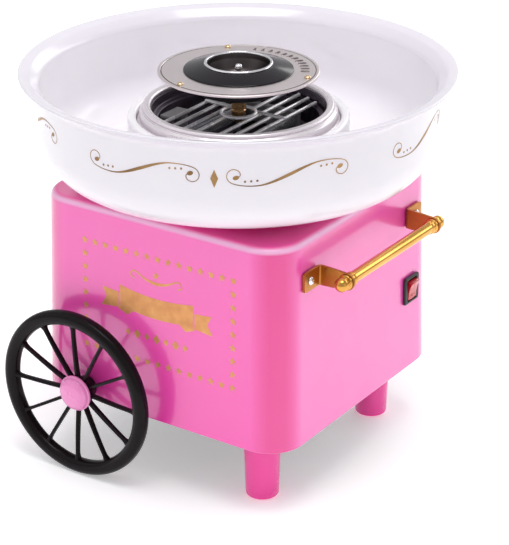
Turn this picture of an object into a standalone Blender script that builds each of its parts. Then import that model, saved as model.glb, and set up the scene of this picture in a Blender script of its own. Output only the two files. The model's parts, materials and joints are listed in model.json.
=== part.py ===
"""Table-top cotton candy machine built as a carnival cart.

A square moulded housing stands on two feet at its handle end and on two spoked
wheels at the other. A loose bowl sits on the housing round a turned tower. The
tower holds the heater well, and a motor below it turns the sugar head above it.

Metres, +Z up. Origin on the floor under the head's axis. +X is the end with the
handle and the switch, -Y and +Y are the sides with the wheels.
"""
import math

import bmesh
import bpy
from mathutils import Euler, Matrix, Vector

MM = 0.001
CLEAR = 0.3 * MM            # gap left between pieces that touch
PASS = 2.0 * MM             # how far a cutter runs past the face that it opens
MERGE = 0.0005 * MM         # points closer than this are one point

# Housing: a square box with drafted walls
BODY_BASE_Z = 50.0 * MM
BODY_TOP_Z = 197.4 * MM
BODY_HALF_BASE = 104.0 * MM
BODY_HALF_TOP = 100.5 * MM
BODY_CORNER_R = 26.0 * MM
BODY_EDGE_R = 5.0 * MM
BODY_RIM_R = 0.8 * MM       # small round on the bottom edge
WALL = 2.6 * MM
SEAT_Z = 205.2 * MM         # raised ring that the bowl rests on
SEAT_R = 88.0 * MM
SEAT_BORE_R = 63.0 * MM
POST_XY = 90.4 * MM         # corner posts that take the base screws
POST_R = 6.5 * MM
POST_TOP_Z = 75.0 * MM
BOSS_R = 4.0 * MM           # bosses that take the motor bracket's screws
PILOT_R = 1.8 * MM
SCREW_R = 1.4 * MM
SCREW_HEAD_R = 3.3 * MM
SCREW_HEAD_T = 1.9 * MM
BASE_PLATE_T = 2.6 * MM
VENT_SLOTS = 7
VENT_HALF = 28.0 * MM
VENT_W = 4.0 * MM
VENT_PITCH = 9.0 * MM

# Feet, at the handle end only
FOOT_X = 68.6 * MM
FOOT_Y = 72.9 * MM
FOOT_TOP_R = 13.3 * MM
FOOT_LOW_R = 11.6 * MM
FOOT_LOW_Z = 0.6 * MM
PAD_R = 7.5 * MM
PAD_TOP_Z = 2.8 * MM
SPIGOT_R = 4.0 * MM         # push-in stub on a foot's top

# Wheels, at the other end, on one cross axle
WHEEL_X = -56.6 * MM
WHEEL_Y = 119.4 * MM
WHEEL_R = 61.7 * MM
RIM_SECTION_R = 5.2 * MM
SPOKES = 12
SPOKE_W = 2.2 * MM
SPOKE_DEPTH = 5.0 * MM
HUB_R = 9.5 * MM
HUB_BACK_Y = 105.4 * MM
HUB_FRONT_Y = 118.6 * MM
AXLE_R = 3.0 * MM
AXLE_END_Y = 120.8 * MM
AXLE_BORE_R = 3.4 * MM
CAP_R = 13.0 * MM
CAP_BACK_Y = 118.9 * MM
CAP_TOP_Y = 126.3 * MM
CAP_BORE_R = 8.2 * MM
CAP_BORE_DEPTH = 3.1 * MM
CLIP_R = 6.5 * MM
CLIP_Y = (119.0 * MM, 119.9 * MM)

# Bowl
BOWL_BASE_Z = 205.5 * MM
BOWL_LIP_Z = 277.8 * MM
BOWL_LIP_R = 150.0 * MM
BOWL_WALL_LOW_R = 137.5 * MM
BOWL_WALL_TOP_R = 138.3 * MM
BOWL_WALL_TOP_Z = 268.0 * MM
BOWL_CORNER_R = 29.2 * MM
BOWL_T = 2.5 * MM
BOWL_COLLAR_R = 76.7 * MM
BOWL_COLLAR_Z = 244.2 * MM
BOWL_COLLAR_T = 2.0 * MM
BOWL_SKIRT_R = 70.6 * MM    # the collar folds over and hangs down beside the tower
BOWL_SKIRT_Z = 212.0 * MM

# Tower and heater well
TOWER_FOOT_R = 71.6 * MM
TOWER_TOP_Z = 251.3 * MM
TOWER_WALL_R = 68.4 * MM
TOWER_LIP_R = 66.2 * MM
TOWER_GROOVE_R = 65.4 * MM
TOWER_MOUTH_R = 60.6 * MM
TOWER_BORE_R = 65.6 * MM
WELL_FLOOR_Z = 223.6 * MM
WELL_RIM_Z = 247.8 * MM
WELL_T = 1.2 * MM
TUBE_X = 20.0 * MM
TUBE_Z = 231.5 * MM
TUBE_R = 5.0 * MM
TUBE_WALL = 1.2 * MM
TUBE_HALF = 37.0 * MM
HOLDER_HALF = 25.0 * MM
HOLDER_Y = (35.0 * MM, 40.5 * MM)
GUARD_Z = 243.2 * MM
GUARD_CROSS_Z = 244.2 * MM
GUARD_WIRE_R = 1.2 * MM
GUARD_REACH_R = 58.3 * MM
GUARD_RING_R = 12.0 * MM
GUARD_WIRES_X = (13.0 * MM, 22.5 * MM, 32.0 * MM)
GUARD_CROSS_Y = 7.0 * MM
GUARD_STAY_X = 3.0 * MM

# Sugar head, its shaft and the motor
DISC_Z = 275.2 * MM
DISC_R = 55.6 * MM
DISC_INNER_R = 35.0 * MM
CONE_BASE_R = 38.2 * MM
MOUTH_R = 21.5 * MM
MOUTH_TOP_Z = 281.0 * MM
RIVET_CIRCLE_R = 50.0 * MM
RIVET_FIRST_DEG = 13.0
RIVETS = 3
PAN_FLOOR_Z = 260.6 * MM
PAN_R = 28.5 * MM
PAN_T = 1.0 * MM
PAN_FLANGE_R = 53.0 * MM
RIVET_HOLE_R = 1.5 * MM
SHAFT_R = 1.6 * MM
SHAFT_BORE_R = 1.95 * MM
SHAFT_LOW_Z = 127.0 * MM
SHAFT_TOP_Z = 252.0 * MM    # the head's coupling pushes onto this end
HEAD_POST_TOP_Z = 277.6 * MM
HEAD_POST_R = 1.6 * MM
COUPLING_R = 5.0 * MM
COUPLING_LOW_Z = 238.5 * MM
MOTOR_R = 17.5 * MM
MOTOR_TOP_Z = 194.2 * MM
MOTOR_LOW_Z = 150.0 * MM
MOTOR_NECK_R = 4.0 * MM
MOTOR_WALL = 1.4 * MM
ROTOR_R = 12.6 * MM
ROTOR_Z = (156.0 * MM, 184.0 * MM)
BRACKET_Z = 194.6 * MM
BRACKET_T = 1.6 * MM
BRACKET_HALF_W = 20.0 * MM
BRACKET_SCREW_Y = 74.0 * MM
FAN_Z = 134.0 * MM
FAN_R = 24.0 * MM
FAN_BLADES = 6
FAN_HUB_R = 6.0 * MM
FAN_HUB_HALF = 4.0 * MM
FAN_PITCH_DEG = 28.0

# Handle on the +X wall
HANDLE_Z = 169.0 * MM
HANDLE_X = 124.0 * MM
HANDLE_ARM_Y = 57.0 * MM
HANDLE_BAR_R = 4.15 * MM
HANDLE_EYE_R = 6.0 * MM
HANDLE_SHEET_T = 2.0 * MM
HANDLE_SCREW_Y = 69.0 * MM

# Rocker switch on the +X wall
SWITCH_Y = 65.2 * MM
SWITCH_Z = 112.3 * MM
SWITCH_W = 19.0 * MM
SWITCH_H = 20.5 * MM
SWITCH_DEPTH = 14.0 * MM
SWITCH_BODY_HALF = (7.2 * MM, 9.0 * MM)     # across, up
SWITCH_HOLE_HALF = (7.5 * MM, 9.3 * MM)
SWITCH_CAVITY_HALF = (6.0 * MM, 8.2 * MM)
ROCKER_X = 103.6 * MM       # the rocker's pivot
ROCKER_W = 11.0 * MM
ROCKER_TILT_DEG = 12.0

# Mains inlet grommet on the +Y wall
INLET_X = 45.0 * MM
INLET_Z = 78.0 * MM

COARSE, MEDIUM, FINE, BOWL_SIDES = 12, 16, 28, 36    # sides of rounds, small to large


# ---------------------------------------------------------------- helpers

def clear_scene():
    for obj in list(bpy.data.objects):
        bpy.data.objects.remove(obj, do_unlink=True)


def material(name, colour, roughness, metallic=0.0):
    mat = bpy.data.materials.new(name)
    mat.use_nodes = True
    shader = mat.node_tree.nodes["Principled BSDF"]
    shader.inputs["Base Color"].default_value = (*colour, 1.0)
    shader.inputs["Roughness"].default_value = roughness
    shader.inputs["Metallic"].default_value = metallic
    return mat


def pivot(name, location):
    """An empty on a joint's axis; the pieces that the joint moves hang from it."""
    empty = bpy.data.objects.new(name, None)
    empty.empty_display_size = 10 * MM
    empty.location = location
    bpy.context.scene.collection.objects.link(empty)
    return empty


def add_object(name, bm, mat, parent=None):
    """Turn a bmesh in world coordinates into a named object under its pivot."""
    if parent is not None:
        bmesh.ops.translate(bm, verts=bm.verts, vec=-parent.location)
    bmesh.ops.recalc_face_normals(bm, faces=bm.faces)
    mesh = bpy.data.meshes.new(name)
    bm.to_mesh(mesh)
    bm.free()
    if mat is not None:
        mesh.materials.append(mat)
    obj = bpy.data.objects.new(name, mesh)
    obj.parent = parent
    bpy.context.scene.collection.objects.link(obj)
    mesh.shade_smooth()
    mesh.set_sharp_from_angle(angle=math.radians(35))
    return obj


def gather(pieces):
    """Put several bmeshes into one, as separate closed bodies."""
    whole = bmesh.new()
    for piece in pieces:
        mesh = bpy.data.meshes.new("part_of_tool")
        bmesh.ops.recalc_face_normals(piece, faces=piece.faces)
        piece.to_mesh(mesh)
        piece.free()
        whole.from_mesh(mesh)
        bpy.data.meshes.remove(mesh)
    return whole


def shape_with(target, operation, pieces):
    """Add or cut pieces with a Boolean modifier that stays on the target."""
    tool = add_object(target.name + "_" + operation.lower(), gather(pieces), None)
    tool.hide_render = True
    tool.display_type = "WIRE"
    modifier = target.modifiers.new(operation.title(), "BOOLEAN")
    modifier.operation = operation
    modifier.solver = "EXACT"
    modifier.object = tool


def add_to(target, *pieces):
    shape_with(target, "UNION", pieces)


def cut_from(target, *pieces):
    shape_with(target, "DIFFERENCE", pieces)


def turned(profile, sides, centre=(0, 0, 0), axis="Z"):
    """Spin a profile of (radius, height) points round an axis through centre."""
    bm = bmesh.new()
    verts = [bm.verts.new((r, 0, h)) for r, h in profile]
    ring = verts if profile[0][0] == 0 and profile[-1][0] == 0 else verts + verts[:1]
    edges = [bm.edges.new(pair) for pair in zip(ring, ring[1:])]
    bmesh.ops.spin(bm, geom=verts + edges, cent=(0, 0, 0), axis=(0, 0, 1),
                   angle=math.tau, steps=sides, use_merge=True)
    bmesh.ops.remove_doubles(bm, verts=bm.verts, dist=MERGE)
    facing = {"Z": Matrix(), "X": Matrix.Rotation(math.pi / 2, 4, "Y"),
              "Y": Matrix.Rotation(-math.pi / 2, 4, "X"),
              "-Y": Matrix.Rotation(math.pi / 2, 4, "X")}[axis]
    bmesh.ops.transform(bm, matrix=Matrix.Translation(centre) @ facing, verts=bm.verts)
    return bm


def disc_profile(radius, low, high):
    return [(0, low), (radius, low), (radius, high), (0, high)]


def ring_profile(inner, outer, low, high):
    return [(inner, low), (outer, low), (outer, high), (inner, high)]


def arc(centre_r, centre_h, radius, start_deg, end_deg, steps):
    """Points of a circular arc in a profile's (radius, height) plane."""
    points = []
    for step in range(steps + 1):
        angle = math.radians(start_deg + (end_deg - start_deg) * step / steps)
        points.append((centre_r + radius * math.cos(angle), centre_h + radius * math.sin(angle)))
    return points


def loft(sections):
    """Skin equal closed sections in order, and close both ends."""
    bm = bmesh.new()
    rings = [[bm.verts.new(point) for point in section] for section in sections]
    for low, high in zip(rings, rings[1:]):
        for i in range(len(low)):
            j = (i + 1) % len(low)
            bm.faces.new((low[i], low[j], high[j], high[i]))
    bm.faces.new(list(reversed(rings[0])))
    bm.faces.new(rings[-1])
    return bm


def rounded_square(half, corner_r, z, steps=4):
    points = []
    for quarter in range(4):
        turn = math.radians(90 * quarter)
        centre = Vector((half - corner_r, half - corner_r)) @ Matrix.Rotation(-turn, 2)
        for step in range(steps + 1):
            angle = turn + math.radians(90 * step / steps)
            points.append((centre.x + corner_r * math.cos(angle),
                           centre.y + corner_r * math.sin(angle), z))
    return points


def box(low, high):
    bm = bmesh.new()
    centre = (Vector(low) + Vector(high)) / 2
    size = Vector(high) - Vector(low)
    bmesh.ops.create_cube(bm, size=1.0)
    bmesh.ops.scale(bm, verts=bm.verts, vec=size)
    bmesh.ops.translate(bm, verts=bm.verts, vec=centre)
    return bm


def rod(start, end, radius, sides=6):
    """A cylinder between two points."""
    start, end = Vector(start), Vector(end)
    span = end - start
    facing = span.to_track_quat("Z", "Y").to_matrix().to_4x4()
    bm = bmesh.new()
    bmesh.ops.create_cone(bm, cap_ends=True, segments=sides, radius1=radius, radius2=radius,
                          depth=span.length,
                          matrix=Matrix.Translation((start + end) / 2) @ facing)
    return bm


def body_half(z):
    """Half width of the drafted housing at a height."""
    share = (z - BODY_BASE_Z) / (BODY_TOP_Z - BODY_BASE_Z)
    return BODY_HALF_BASE + (BODY_HALF_TOP - BODY_HALF_BASE) * share


def switch_box(x_low, x_high, halves):
    """A box centred on the switch; halves are its half width and half height."""
    half_w, half_h = halves
    return box((x_low, SWITCH_Y - half_w, SWITCH_Z - half_h),
               (x_high, SWITCH_Y + half_w, SWITCH_Z + half_h))


def screw_profile(head_low, tip):
    """Pan-head screw along +Z with its head at the low end."""
    neck = head_low + SCREW_HEAD_T
    return [(0, head_low), (SCREW_HEAD_R * 0.7, head_low),
            (SCREW_HEAD_R, head_low + SCREW_HEAD_T * 0.5), (SCREW_HEAD_R, neck),
            (SCREW_R, neck), (SCREW_R, tip), (0, tip)]


def mirrored_names(stem):
    """The two sides across Y: the side that faces -Y is the left one."""
    return ((stem + "_left", -1), (stem + "_right", 1))


# ---------------------------------------------------------------- housing and base

def make_housing(mats):
    edge = BODY_EDGE_R
    levels = [(BODY_BASE_Z, -BODY_RIM_R), (BODY_BASE_Z + 2 * BODY_RIM_R, 0)]
    for step in range(4):
        angle = math.radians(30 * step)
        levels.append((BODY_TOP_Z - edge + edge * math.sin(angle),
                       -edge + edge * math.cos(angle)))
    outer = loft([rounded_square(body_half(z) + inset, BODY_CORNER_R + inset, z)
                  for z, inset in levels])
    shell = add_object("housing_shell", outer, mats["pink"])
    add_to(shell, turned(disc_profile(SEAT_R, BODY_TOP_Z - 1.0 * MM, SEAT_Z), FINE))
    ceiling = BODY_TOP_Z - WALL
    cut_from(shell, loft([rounded_square(body_half(z) - WALL, BODY_CORNER_R - WALL, z)
                          for z in (BODY_BASE_Z - PASS, ceiling)]))
    pocket = [(0, ceiling - PASS), (SEAT_R - WALL, ceiling - PASS), (SEAT_R - WALL, SEAT_Z - WALL),
              (SEAT_BORE_R, SEAT_Z - WALL), (SEAT_BORE_R, SEAT_Z + PASS), (0, SEAT_Z + PASS)]
    cut_from(shell, turned(pocket, FINE))
    corners = [(sx * POST_XY, sy * POST_XY) for sx in (-1, 1) for sy in (-1, 1)]
    post_low = BODY_BASE_Z + CLEAR * 2 + BASE_PLATE_T
    bosses = [(0, side * BRACKET_SCREW_Y) for side in (-1, 1)]
    boss_low = BRACKET_Z + BRACKET_T + CLEAR
    add_to(shell,
           *[rod((x, y, post_low), (x, y, POST_TOP_Z), POST_R, COARSE) for x, y in corners],
           *[rod((x, y, boss_low), (x, y, SEAT_Z - WALL / 2), BOSS_R, COARSE)
             for x, y in bosses])
    switch_x = body_half(SWITCH_Z)
    cut_from(shell,
             *[rod((x, y, post_low - PASS), (x, y, POST_TOP_Z - 4 * MM), PILOT_R, 8)
               for x, y in corners],
             *[rod((x, y, boss_low - PASS), (x, y, SEAT_Z - 1.8 * MM), PILOT_R, 8)
               for x, y in bosses],
             rod((WHEEL_X, -BODY_HALF_BASE - PASS, WHEEL_R),
                 (WHEEL_X, BODY_HALF_BASE + PASS, WHEEL_R), AXLE_BORE_R, COARSE),
             rod((INLET_X, body_half(INLET_Z) - WALL - PASS, INLET_Z),
                 (INLET_X, body_half(INLET_Z) + PASS, INLET_Z), 5.6 * MM, COARSE),
             switch_box(switch_x - WALL - PASS, switch_x + PASS, SWITCH_HOLE_HALF),
             *[rod((body_half(HANDLE_Z) - WALL - PASS, side * HANDLE_SCREW_Y, HANDLE_Z),
                   (body_half(HANDLE_Z) + PASS, side * HANDLE_SCREW_Y, HANDLE_Z), PILOT_R, 8)
               for side in (-1, 1)])


def make_base_plate(mats):
    low = BODY_BASE_Z + CLEAR
    half = body_half(low) - WALL - 0.5 * MM
    top = low + BASE_PLATE_T
    plate = add_object("base_plate", loft([rounded_square(half, BODY_CORNER_R - WALL, z)
                                           for z in (low, top)]), mats["black"])
    middles = [(index - (VENT_SLOTS - 1) / 2) * VENT_PITCH for index in range(VENT_SLOTS)]
    slots = [box((x - VENT_W / 2, -VENT_HALF, low - PASS), (x + VENT_W / 2, VENT_HALF, top + PASS))
             for x in middles]
    holes = [rod((sx * POST_XY, sy * POST_XY, low - PASS), (sx * POST_XY, sy * POST_XY, top + PASS),
                 PILOT_R, 8) for sx in (-1, 1) for sy in (-1, 1)]
    holes += [rod((FOOT_X, side * FOOT_Y, low - PASS), (FOOT_X, side * FOOT_Y, top + PASS),
                  SPIGOT_R + 0.4 * MM, COARSE) for side in (-1, 1)]
    cut_from(plate, *slots, *holes)


def make_base_screws(mats):
    head = BODY_BASE_Z - SCREW_HEAD_T
    for x_name, sx in (("rear", -1), ("front", 1)):
        for name, sy in mirrored_names("base_screw_" + x_name):
            add_object(name, turned(screw_profile(head, POST_TOP_Z - 8 * MM), 8,
                                    (sx * POST_XY, sy * POST_XY, 0)), mats["steel"])


def make_feet(mats):
    top = BODY_BASE_Z
    pocket_r, pocket_z = PAD_R + CLEAR, PAD_TOP_Z + CLEAR
    spigot_top = top + BASE_PLATE_T + 2.5 * MM
    spigot = [(SPIGOT_R, top), (SPIGOT_R, spigot_top - 1.0 * MM), (SPIGOT_R - 0.8 * MM, spigot_top),
              (0, spigot_top)]
    corner = [(FOOT_LOW_R, FOOT_LOW_Z + 3.0 * MM), (FOOT_LOW_R - 0.9 * MM, FOOT_LOW_Z + 0.9 * MM),
              (FOOT_LOW_R - 3.0 * MM, FOOT_LOW_Z)]
    profile = ([(0, pocket_z), (pocket_r, pocket_z), (pocket_r, FOOT_LOW_Z)] + corner[::-1]
               + [(FOOT_TOP_R, top)] + spigot)
    for name, side in mirrored_names("foot"):
        add_object(name, turned(profile, MEDIUM, (FOOT_X, side * FOOT_Y, 0)), mats["pink"])
    for name, side in mirrored_names("foot_pad"):
        add_object(name, turned(disc_profile(PAD_R, 0, PAD_TOP_Z), MEDIUM,
                                (FOOT_X, side * FOOT_Y, 0)), mats["rubber"])


# ---------------------------------------------------------------- wheels

def spoke(side, index):
    """A flat spoke that bows a little towards the housing at its hub end."""
    stations = ((7.0 * MM, 3.9 * MM), (24.0 * MM, 2.6 * MM), (52.5 * MM, 0.0))
    half_w, half_d = SPOKE_W / 2, SPOKE_DEPTH / 2
    turn = Matrix.Rotation(math.tau * index / SPOKES, 4, "Y")
    sections = []
    for radius, dish in stations:
        y = side * (WHEEL_Y - dish)
        corners = ((-half_w, y - half_d), (half_w, y - half_d), (half_w, y + half_d),
                   (-half_w, y + half_d))
        sections.append([Vector((WHEEL_X, 0, WHEEL_R)) + turn @ Vector((x, yy, radius))
                         for x, yy in corners])
    return loft(sections)


def make_wheel(name, side, parent, mats):
    axis = "Y" if side > 0 else "-Y"
    centre = (WHEEL_X, 0, WHEEL_R)
    rim_r = WHEEL_R - RIM_SECTION_R
    rim = turned(arc(rim_r, WHEEL_Y, RIM_SECTION_R, 0, 300, 5), FINE, centre, axis)
    wheel = add_object("wheel_" + name, rim, mats["wheel"], parent)
    hub = [(AXLE_BORE_R, HUB_BACK_Y), (HUB_R - 1.5 * MM, HUB_BACK_Y), (HUB_R, 111.0 * MM),
           (HUB_R + 1.5 * MM, HUB_FRONT_Y), (AXLE_BORE_R, HUB_FRONT_Y)]
    add_to(wheel, *[spoke(side, index) for index in range(SPOKES)])
    add_to(wheel, turned(hub, MEDIUM, centre, axis))
    bore_y = CAP_BACK_Y + CAP_BORE_DEPTH
    cap = [(0, bore_y), (CAP_BORE_R - 0.6 * MM, bore_y), (CAP_BORE_R, bore_y - 0.6 * MM),
           (CAP_BORE_R, CAP_BACK_Y), (CAP_R, CAP_BACK_Y), (CAP_R, CAP_BACK_Y + 0.8 * MM),
           (CAP_R * 0.86, CAP_BACK_Y + 3.6 * MM), (CAP_R * 0.62, CAP_TOP_Y - 1.5 * MM),
           (CAP_R * 0.32, CAP_TOP_Y - 0.4 * MM), (0, CAP_TOP_Y)]
    add_object("hub_cap_" + name, turned(cap, MEDIUM, centre, axis), mats["pink"], parent)


def make_axle(mats):
    centre = (WHEEL_X, 0, WHEEL_R)
    add_object("axle", turned(disc_profile(AXLE_R, -AXLE_END_Y, AXLE_END_Y), COARSE, centre, "Y"),
               mats["steel"])
    clip = ring_profile(AXLE_R + CLEAR, CLIP_R, *CLIP_Y)
    for name, side in mirrored_names("axle_clip"):
        add_object(name, turned(clip, COARSE, centre, "Y" if side > 0 else "-Y"), mats["steel"])


# ---------------------------------------------------------------- bowl, tower and heater

def make_bowl(parent, mats):
    corner_r = BOWL_WALL_LOW_R - BOWL_CORNER_R
    corner_z = BOWL_BASE_Z + BOWL_CORNER_R
    floor_z = BOWL_BASE_Z + BOWL_T
    inner_top_r = BOWL_WALL_TOP_R - BOWL_T
    outside = arc(corner_r, corner_z, BOWL_CORNER_R, -90, 0, 4)
    flare = [(BOWL_WALL_TOP_R, BOWL_WALL_TOP_Z), (BOWL_LIP_R - 8.6 * MM, BOWL_LIP_Z - 5.8 * MM),
             (BOWL_LIP_R - 0.5 * MM, BOWL_LIP_Z - 2.0 * MM), (BOWL_LIP_R, BOWL_LIP_Z),
             (BOWL_LIP_R - 1.4 * MM, BOWL_LIP_Z + 0.4 * MM),
             (BOWL_LIP_R - 9.4 * MM, BOWL_LIP_Z - 3.2 * MM), (inner_top_r, BOWL_WALL_TOP_Z)]
    inside = arc(corner_r, corner_z, BOWL_CORNER_R - BOWL_T, 0, -90, 3)
    hole_r, under_z = BOWL_COLLAR_R - BOWL_COLLAR_T, BOWL_COLLAR_Z - BOWL_COLLAR_T
    skirt_back = BOWL_SKIRT_R + BOWL_COLLAR_T
    collar = [(BOWL_COLLAR_R + BOWL_T, floor_z), (BOWL_COLLAR_R, floor_z + BOWL_T),
              (BOWL_COLLAR_R, under_z), (BOWL_COLLAR_R - 0.6 * BOWL_COLLAR_T, BOWL_COLLAR_Z - 0.5 * MM),
              (hole_r, BOWL_COLLAR_Z), (skirt_back, BOWL_COLLAR_Z),
              (BOWL_SKIRT_R + 0.6 * BOWL_COLLAR_T, BOWL_COLLAR_Z - 0.5 * MM), (BOWL_SKIRT_R, under_z),
              (BOWL_SKIRT_R, BOWL_SKIRT_Z), (skirt_back, BOWL_SKIRT_Z), (skirt_back, under_z),
              (hole_r, under_z), (hole_r, BOWL_BASE_Z)]
    add_object("bowl", turned(outside + flare + inside + collar, BOWL_SIDES), mats["bowl"], parent)


def make_tower(mats):
    low = SEAT_Z + CLEAR
    ledge_z = WELL_RIM_Z + CLEAR
    profile = [(TOWER_FOOT_R, low), (TOWER_FOOT_R, low + 2.1 * MM), (TOWER_WALL_R, low + 4.0 * MM),
               (TOWER_WALL_R, TOWER_TOP_Z - 5.3 * MM),
               (TOWER_WALL_R - 1.0 * MM, TOWER_TOP_Z - 3.7 * MM),
               (TOWER_GROOVE_R, TOWER_TOP_Z - 2.2 * MM), (TOWER_LIP_R, TOWER_TOP_Z - 1.4 * MM),
               (TOWER_LIP_R - 1.6 * MM, TOWER_TOP_Z), (TOWER_MOUTH_R + 1.2 * MM, TOWER_TOP_Z),
               (TOWER_MOUTH_R, TOWER_TOP_Z - 1.5 * MM), (TOWER_MOUTH_R, ledge_z),
               (TOWER_BORE_R, ledge_z), (TOWER_BORE_R, low)]
    add_object("tower_collar", turned(profile, FINE), mats["tower"])


def make_well(mats):
    inside = [(65.2 * MM, WELL_RIM_Z), (60.2 * MM, WELL_RIM_Z), (59.0 * MM, 241.4 * MM),
              (55.6 * MM, 240.8 * MM), (52.6 * MM, 228.0 * MM), (47.5 * MM, WELL_FLOOR_Z),
              (9.0 * MM, WELL_FLOOR_Z), (7.4 * MM, 228.0 * MM)]
    outside = [(6.2 * MM, 228.0 * MM), (6.2 * MM, WELL_FLOOR_Z - WELL_T),
               (48.2 * MM, WELL_FLOOR_Z - WELL_T), (53.9 * MM, 227.6 * MM), (56.6 * MM, 239.6 * MM),
               (60.2 * MM, 240.4 * MM), (61.3 * MM, WELL_RIM_Z - WELL_T),
               (65.2 * MM, WELL_RIM_Z - WELL_T)]
    add_object("heater_well", turned(inside + outside, FINE), mats["reflector"])


def make_heater(mats):
    for name, sx in (("left", -1), ("right", 1)):
        tube = ring_profile(TUBE_R - TUBE_WALL, TUBE_R, -TUBE_HALF, TUBE_HALF)
        add_object("quartz_tube_" + name, turned(tube, COARSE, (sx * TUBE_X, 0, TUBE_Z), "Y"),
                   mats["quartz"])
    near, far = HOLDER_Y
    holder_low = WELL_FLOOR_Z + 0.8 * MM
    for name, side in mirrored_names("tube_holder"):
        low_y, high_y = sorted((side * near, side * far))
        holder = add_object(name, box((-HOLDER_HALF, low_y, holder_low),
                                      (HOLDER_HALF, high_y, TUBE_Z + 7 * MM)), mats["ceramic"])
        cut_from(holder, *[rod((sx * TUBE_X, side * (near - PASS), TUBE_Z),
                               (sx * TUBE_X, side * (TUBE_HALF + CLEAR), TUBE_Z),
                               TUBE_R + CLEAR * 1.5, COARSE) for sx in (-1, 1)])
    block = box((-42.5 * MM, -18 * MM, WELL_FLOOR_Z + CLEAR), (-36 * MM, -10 * MM, 240 * MM))
    terminal = add_object("heater_terminal", block, mats["ceramic"])
    add_to(terminal, box((-45.6 * MM, -29.4 * MM, 239.4 * MM), (-34.5 * MM, -9 * MM, 242 * MM)))
    cutout = [(0, 215.5 * MM), (4.5 * MM, 215.5 * MM), (4.5 * MM, 218 * MM), (7.5 * MM, 218 * MM),
              (7.5 * MM, WELL_FLOOR_Z - WELL_T - CLEAR), (0, WELL_FLOOR_Z - WELL_T - CLEAR)]
    add_object("thermal_cutout", turned(cutout, COARSE, (28 * MM, -22 * MM, 0)), mats["steel"])


def make_guard(mats):
    """Welded wires over the heater: six long ones, two stays, a cross bar and a ring."""
    wires = []
    for x in [sign * x for x in GUARD_WIRES_X for sign in (-1, 1)]:
        reach = math.sqrt(GUARD_REACH_R ** 2 - x ** 2)
        wires.append(rod((x, -reach, GUARD_Z), (x, reach, GUARD_Z), GUARD_WIRE_R))
    for side in (-1, 1):
        x = side * GUARD_STAY_X
        wires.append(rod((x, side * (GUARD_RING_R - 1.0 * MM), GUARD_Z),
                         (x, side * math.sqrt(GUARD_REACH_R ** 2 - x ** 2), GUARD_Z),
                         GUARD_WIRE_R))
    guard = add_object("wire_guard", gather(wires), mats["chrome"])
    section = arc(GUARD_RING_R, GUARD_CROSS_Z, GUARD_WIRE_R * 0.95, 10, 310, 5)
    bars = []
    for sign in (-1, 1):
        start = math.sqrt(GUARD_RING_R ** 2 - GUARD_CROSS_Y ** 2)
        bars.append(rod((sign * start, GUARD_CROSS_Y, GUARD_CROSS_Z + 0.1 * MM),
                        (sign * (GUARD_WIRES_X[-1] + 1.6 * MM), GUARD_CROSS_Y,
                         GUARD_CROSS_Z + 0.1 * MM), GUARD_WIRE_R))
    add_to(guard, *bars)
    add_to(guard, turned(section, MEDIUM))


# ---------------------------------------------------------------- sugar head and drive

def rivet_places():
    for index in range(RIVETS):
        angle = math.radians(RIVET_FIRST_DEG + 360 * index / RIVETS)
        yield index + 1, (RIVET_CIRCLE_R * math.cos(angle), RIVET_CIRCLE_R * math.sin(angle), 0)


def rivet_holes(low, high):
    return [rod((x, y, low), (x, y, high), RIVET_HOLE_R, 8) for _, (x, y, _) in rivet_places()]


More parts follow.
